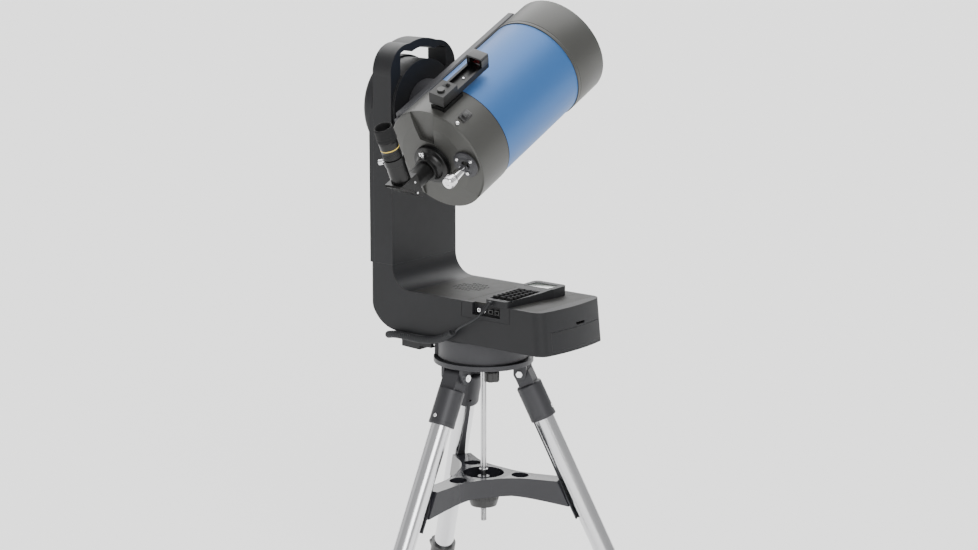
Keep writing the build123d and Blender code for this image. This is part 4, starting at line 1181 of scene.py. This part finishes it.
# ------------------------------------------------------------------ eyepiece end
@dataclass
class EyepieceEnd:
    """The visual back, the star diagonal's trim and the eyepiece."""

    back: float = -193.2
    crossing: float = -300.0

    def build(self) -> None:
        """Make each piece in the tube's frame."""
        place = PLACES.tube()
        self.make_visual_back(place)
        self.make_diagonal_trim(place)
        self.make_eyepiece(place @ Matrix.Translation((0, 0, self.crossing)) @ Matrix.Rotation(-math.pi / 2,
                                                                                               4, "X"))

    def make_visual_back(self, place: Matrix) -> None:
        """A coupling ring with a knurled rim, stepped down to the diagonal's nose."""
        z = self.back
        profile = soften([(16.1, z), (42, z), (43.0, z - 2.2), (43.0, z - 3.2), (42.4, z - 3.6),
                          (42.4, z - 12.6),
                          (43.0, z - 13.0), (42.4, z - 14.4), (38, z - 15), (33, z - 16), (31, z - 20),
                          (27, z - 24),
                          (26, z - 25), (26, z - 33.6), (25.2, z - 34), (16.1, z - 34)], 0.7)
        ring = lathe(profile, 160, closed=True)
        place_piece("visual_back_ring", ring, place, ANODISED, "telescope", ["visual_back"])
        rib = bmesh.new()
        add_box(rib, (-0.6, -0.75, z - 12.4), (0.7, 0.75, z - 3.8), 0.35, 2)
        ribs = RoundRow.make(rib, 90, 42.5, ANODISED)
        place_piece("visual_back_knurl", ribs, place, ANODISED, "telescope")
        stand = place @ Matrix.Translation((0, 0, z - 28)) @ Matrix.Rotation(-math.pi / 2, 4, "X")
        screw = lathe(soften([(2.6, 24), (2.6, 33), (5.4, 33.4), (5.4, 41.6), (0, 41.9)], 0.8), 40)
        place_piece("visual_back_screw", screw, stand, CHROME, "telescope")

    def make_diagonal_trim(self, place: Matrix) -> None:
        """Screws on the diagonal's sides and the knurled collar round its holder."""
        stand = place @ Matrix.Translation((0, 0, self.crossing)) @ Matrix.Rotation(-math.pi / 2, 4, "X")
        collar = lathe(soften([(20.4, 64.6), (22.0, 65.2), (22.0, 79.2), (21.2, 80.0), (16.1, 80.0),
                               (16.1, 64.6)], 0.6),
                       128, closed=True)
        place_piece("holder_collar", collar, stand, ANODISED, "diagonal")
        for side in (-1, 1):
            for up in (-12, 12):
                head = lathe(soften([(0, 1.0), (2.2, 1.0), (2.8, 0.4), (2.8, -0.4), (0, -0.4)], 0.2), 24)
                spot = (place @ Matrix.Translation((side * 23, up, self.crossing + 14 - abs(up - 12) * 0.1))
                        @ Matrix.Rotation(side * math.pi / 2, 4, "Y"))
                name = f"diagonal_cover_screw_{'near' if side < 0 else 'arm'}_{'top' if up > 0 else 'low'}"
                place_piece(name, head, spot, STEEL, "diagonal")

    def make_eyepiece(self, place: Matrix) -> None:
        """The eyepiece: steel barrel, knurled body, gold band, lens and rolled rubber cup."""
        barrel = lathe(soften([(15.87, 41.2), (15.87, 80.4), (13.8, 80.4), (13.8, 41.2)], 0.3), 96,
                       closed=True)
        place_piece("eyepiece_barrel", barrel, place, CHROME, "eyepiece")
        body = lathe(soften([(13.8, 80.2), (19.4, 80.4), (19.8, 82), (19.4, 84), (19.4, 95), (19.9, 96),
                             (19.2, 98),
                             (19.9, 100), (19.9, 117), (18.4, 121), (12.2, 121), (12.2, 112)], 0.6), 128)
        place_piece("eyepiece_body", body, place, ANODISED, "eyepiece", ["eyepiece"],
                    recalc=False)
        rib = bmesh.new()
        add_box(rib, (-0.5, -0.5, 84.2), (0.5, 0.5, 94.8), 0.25, 2)
        place_piece("eyepiece_knurl", RoundRow.make(rib, 60, 19.4, ANODISED), place, ANODISED, "eyepiece")
        band = lathe(soften([(19.6, 102.0), (20.05, 102.2), (20.05, 104.4), (19.6, 104.6)], 0.2), 128)
        place_piece("eyepiece_band", band, place, GOLD_RING, "eyepiece", recalc=False)
        lens = lathe([(0, 116.2), (4, 116.0), (8, 115.2), (12.1, 113.6), (12.1, 108), (0, 108)], 96)
        place_piece("eyepiece_lens", lens, place, EYE_GLASS, "eyepiece")
        cup = lathe(soften([(12.6, 121.1), (20.6, 121.2), (21.4, 124), (21.4, 127), (20.6, 128), (20.6, 131),
                            (21.0, 132), (20.4, 136), (20.1, 148), (20.4, 150.5), (19.4, 152.9),
                            (17.4, 152.9),
                            (16.4, 150.5), (16.2, 140), (13.4, 126)], 0.9), 128, closed=True)
        place_piece("eyepiece_cup", cup, place, RUBBER, "eyepiece")


# ------------------------------------------------------------------ tripod
@dataclass
class TripodLeg:
    """One leg's tubes and the trim of its fittings."""

    index: int
    radius: float = 22.225
    wall: float = 1.6
    lower_radius: float = 19.05

    def build(self) -> None:
        """Make the upper and lower tubes, the rubber foot and the casting's bolt."""
        place = PLACES.leg(self.index)
        body = f"leg_{self.index}"
        r, inner = self.radius, self.radius - self.wall
        upper = lathe([(r, -575), (r, -46), (inner, -46), (inner, -575)], 128, closed=True, start=math.pi)
        place_piece(f"upper_tube_{self.index}", upper, place, ALUMINIUM, body,
                    [f"leg_tube_{self.index}"])
        self.make_lower(place)
        self.make_casting_trim(place, body)

    def make_lower(self, place: Matrix) -> None:
        """The sliding lower tube with its ribbed rubber shoe."""
        body = f"lower_leg_{self.index}"
        r = self.lower_radius
        tube = lathe([(r, -694), (r, -190), (r - 1.6, -190), (r - 1.6, -694)], 96, closed=True, start=math.pi)
        place_piece(f"lower_tube_{self.index}", tube, place, ALUMINIUM, body)
        points = [(r + 0.1, -667.5), (21.5, -668)]
        ribs, pitch = 4, 4.0
        for i in range(ribs):
            z = -669.5 - i * pitch
            points += [(23.8, z), (23.8, z - 2.2), (22.6, z - 2.6), (22.6, z - 3.6)]
        points += [(23.9, -688), (23.9, -731), (0, -731)]
        shoe = lathe(soften(points, 0.6), 96)
        tilt = math.radians(25.0)
        cut = Vector((-math.sin(tilt), 0.0, -math.cos(tilt)))
        bmesh.ops.bisect_plane(shoe, geom=[*shoe.verts, *shoe.edges, *shoe.faces], plane_co=(0, 0, -720.0),
                               plane_no=cut, clear_outer=True)
        rim = [edge for edge in shoe.edges if edge.is_boundary and min(v.co.z for v in edge.verts) < -700]
        bmesh.ops.contextual_create(shoe, geom=rim)
        place_piece(f"rubber_foot_{self.index}", shoe, place, RUBBER, body,
                    [f"leg_extension_{self.index}"])

    def make_casting_trim(self, place: Matrix, body: str) -> None:
        """The rolled lip of the casting and its rivet."""
        lip = lathe(soften([(22.3, -111.2), (28.8, -110.6), (28.8, -104.5), (28.45, -103.5)], 0.8), 96)
        place_piece(f"casting_lip_{self.index}", lip, place, BLACK_PAINT, body, recalc=False)
        head = lathe(soften([(0, 1.6), (3.0, 1.4), (4.2, 0.4), (4.2, -0.6), (0, -0.6)], 0.5), 32)
        spot = place @ Matrix.Translation((28.4, 0, -95)) @ Matrix.Rotation(math.pi / 2, 4, "Y")
        place_piece(f"casting_rivet_{self.index}", head, spot, CHROME, body)


@dataclass
class TripodCentre:
    """The threaded rod and the ring under the drum."""

    rod: float = 6.35
    rod_end: float = -420.0
    pitch: float = 1.9

    def build(self) -> None:
        """Make the rod's thread and the head's rim."""
        place = PLACES.mount()
        self.make_rod(place)
        rim = lathe(soften([(104.5, -44.9), (108.9, -45.3), (109.0, -50.0), (109.0, -55.6), (105, -56.0)],
                           1.4), 192)
        place_piece("head_rim", rim, place, BLACK_PAINT, "stand", recalc=False)

    def make_rod(self, place: Matrix) -> None:
        """The centre rod: plain above the tray, threaded under it."""
        r = self.rod
        points = [(0, self.rod_end), (r - 1.3, self.rod_end), (r, self.rod_end + 1.3)]
        z = self.rod_end + 1.6
        while z < -344:
            points += [(r, z), (r - 0.75, z + self.pitch / 2)]
            z += self.pitch
        points += [(r, -343), (r, -304.2), (9.4, -304.0), (9.4, -301.2), (r, -301), (r, -12), (0, -12)]
        made = lathe(points, 40)
        place_piece("centre_rod_threaded", made, place, STEEL, "stand", ["centre_rod"])


# ------------------------------------------------------------------ handset
@dataclass
class Handset:
    """The hand controller's keys and display."""

    deck: float = 100.05

    def build(self) -> None:
        """Make the keypad's keys, the display and the trim."""
        place = PLACES.mount()
        self.make_keys(place)
        self.make_display(place)

    def make_keys(self, place: Matrix) -> None:
        """Rounded rubber keys on their mat."""
        key = bmesh.new()
        add_box(key, (-6.2, -4.2, -3.0), (6.2, 4.2, 3.2), 1.6, 4)
        keys = GridRow.make(key, 3, 7, 36.0, 84.0, RUBBER)
        bmesh.ops.translate(keys, vec=(125, -47, self.deck + 15.2), verts=keys.verts)
        add_box(keys, (96.5, -97.5, self.deck + 10.6), (153.5, 1.5, self.deck + 12.1), 0.6, 2)
        place_piece("handset_keys", keys, place, RUBBER, "keypad", ["handset_keypad"])

    def make_display(self, place: Matrix) -> None:
        """The display's window in its recess, with a bezel."""
        floor = self.deck + 18.5
        window = bmesh.new()
        add_box(window, (97.5, 25, floor), (155.5, 61, floor + 0.9), 0.3, 2)
        place_piece("display_window", window, place, DISPLAY, "base")
        bezel = bmesh.new()
        for low, high in (((95, 22), (158, 24.4)), ((95, 61.6), (158, 64)), ((95, 24.4), (97, 61.6)),
                          ((156, 24.4), (158, 61.6))):
            add_box(bezel, (*low, floor - 0.2), (*high, floor + 2.2), 0.5, 2)
        place_piece("display_bezel", bezel, place, KNOB_BLACK, "base")


# ------------------------------------------------------------------ base
@dataclass
class BaseTrim:
    """Panel lines and sockets of the base, and the screw of the clip on the drum."""

    near: float = -108.5
    line: float = 0.55

    def build(self) -> None:
        """Make the port panel's outline, the sockets and the clip screw."""
        place = PLACES.mount()
        self.make_port_panel(place)
        self.make_sockets(place)
        self.make_drum_clip(place)

    def make_port_panel(self, place: Matrix) -> None:
        """The thin joint line round the port panel on the near side, as near-black strips of painted shadow.
        """
        # Painted shadow: near-black strips stand in for the shade in the panel's joint.
        made = bmesh.new()
        y0, y1 = self.near - 0.25, self.near + 1.0
        half = self.line / 2
        for x in (27.0, 157.0):
            add_box(made, (x - half, y0 + 0.1, 65.0), (x + half, y1, 99.0), 0.1, 1)
        add_box(made, (27.0, y0 + 0.1, 65.0 - half), (157.0, y1, 65.0 + half), 0.1, 1)
        place_piece("port_panel_line", made, place, SEAM_SHADOW, "base")

    def make_sockets(self, place: Matrix) -> None:
        """Two round jacks and two cable sockets in the recess."""
        for number, x in enumerate((70.0, 84.0), start=1):
            jack = lathe(soften([(2.2, 98.2), (2.2, 101.8), (2.8, 102.2), (4.5, 102.0), (4.5, 97.2)], 0.3),
                         40)
            spot = place @ Matrix.Translation((x, 0, 84)) @ Matrix.Rotation(math.pi / 2, 4, "X")
            place_piece(f"jack_{number}", jack, spot, CHROME, "base", recalc=False)
        frames = bmesh.new()
        for x in (96.0, 113.0):
            for low, high in (((x, 79), (x + 12, 81)), ((x, 87), (x + 12, 89)), ((x, 81), (x + 2, 87)),
                              ((x + 10, 81), (x + 12, 87))):
                add_box(frames, (low[0], -102.2, low[1]), (high[0], -97.1, high[1]), 0.35, 2)
            for pin in range(6):
                add_box(frames, (x + 2.9 + pin * 1.15, -100.6, 85.6), (x + 3.3 + pin * 1.15, -98.9, 87.2),
                        0.05, 1)
        place_piece("cable_sockets", frames, place, KNOB_BLACK, "base", ["port_sockets"])

    def make_drum_clip(self, place: Matrix) -> None:
        """The bright screw of the clip on the drum."""
        turn = Matrix.Rotation(math.radians(219), 4, "Z")
        head = lathe(soften([(0, 2.2), (2.4, 2.0), (3.4, 1.0), (3.4, -0.5), (0, -0.5)], 0.4), 32)
        spot = place @ turn @ Matrix.Translation((106.4, 0, -20)) @ Matrix.Rotation(math.pi / 2, 4, "Y")
        place_piece("drum_clip_screw", head, spot, CHROME, "stand")


def main() -> None:
    """Build the scene in order: stage and cord, then the telescope's finishes and pieces."""
    logging.basicConfig(level=logging.INFO, format="%(name)s: %(message)s")
    Stage().build()
    HandsetCord().build()
    dress_cad_nodes()
    OpticalTube().build()
    FinderTrim().build()
    Focuser().build()
    EyepieceEnd().build()
    for index in (1, 2, 3):
        TripodLeg(index).build()
    TripodCentre().build()
    Handset().build()
    BaseTrim().build()


if __name__ == "__main__":
    main()
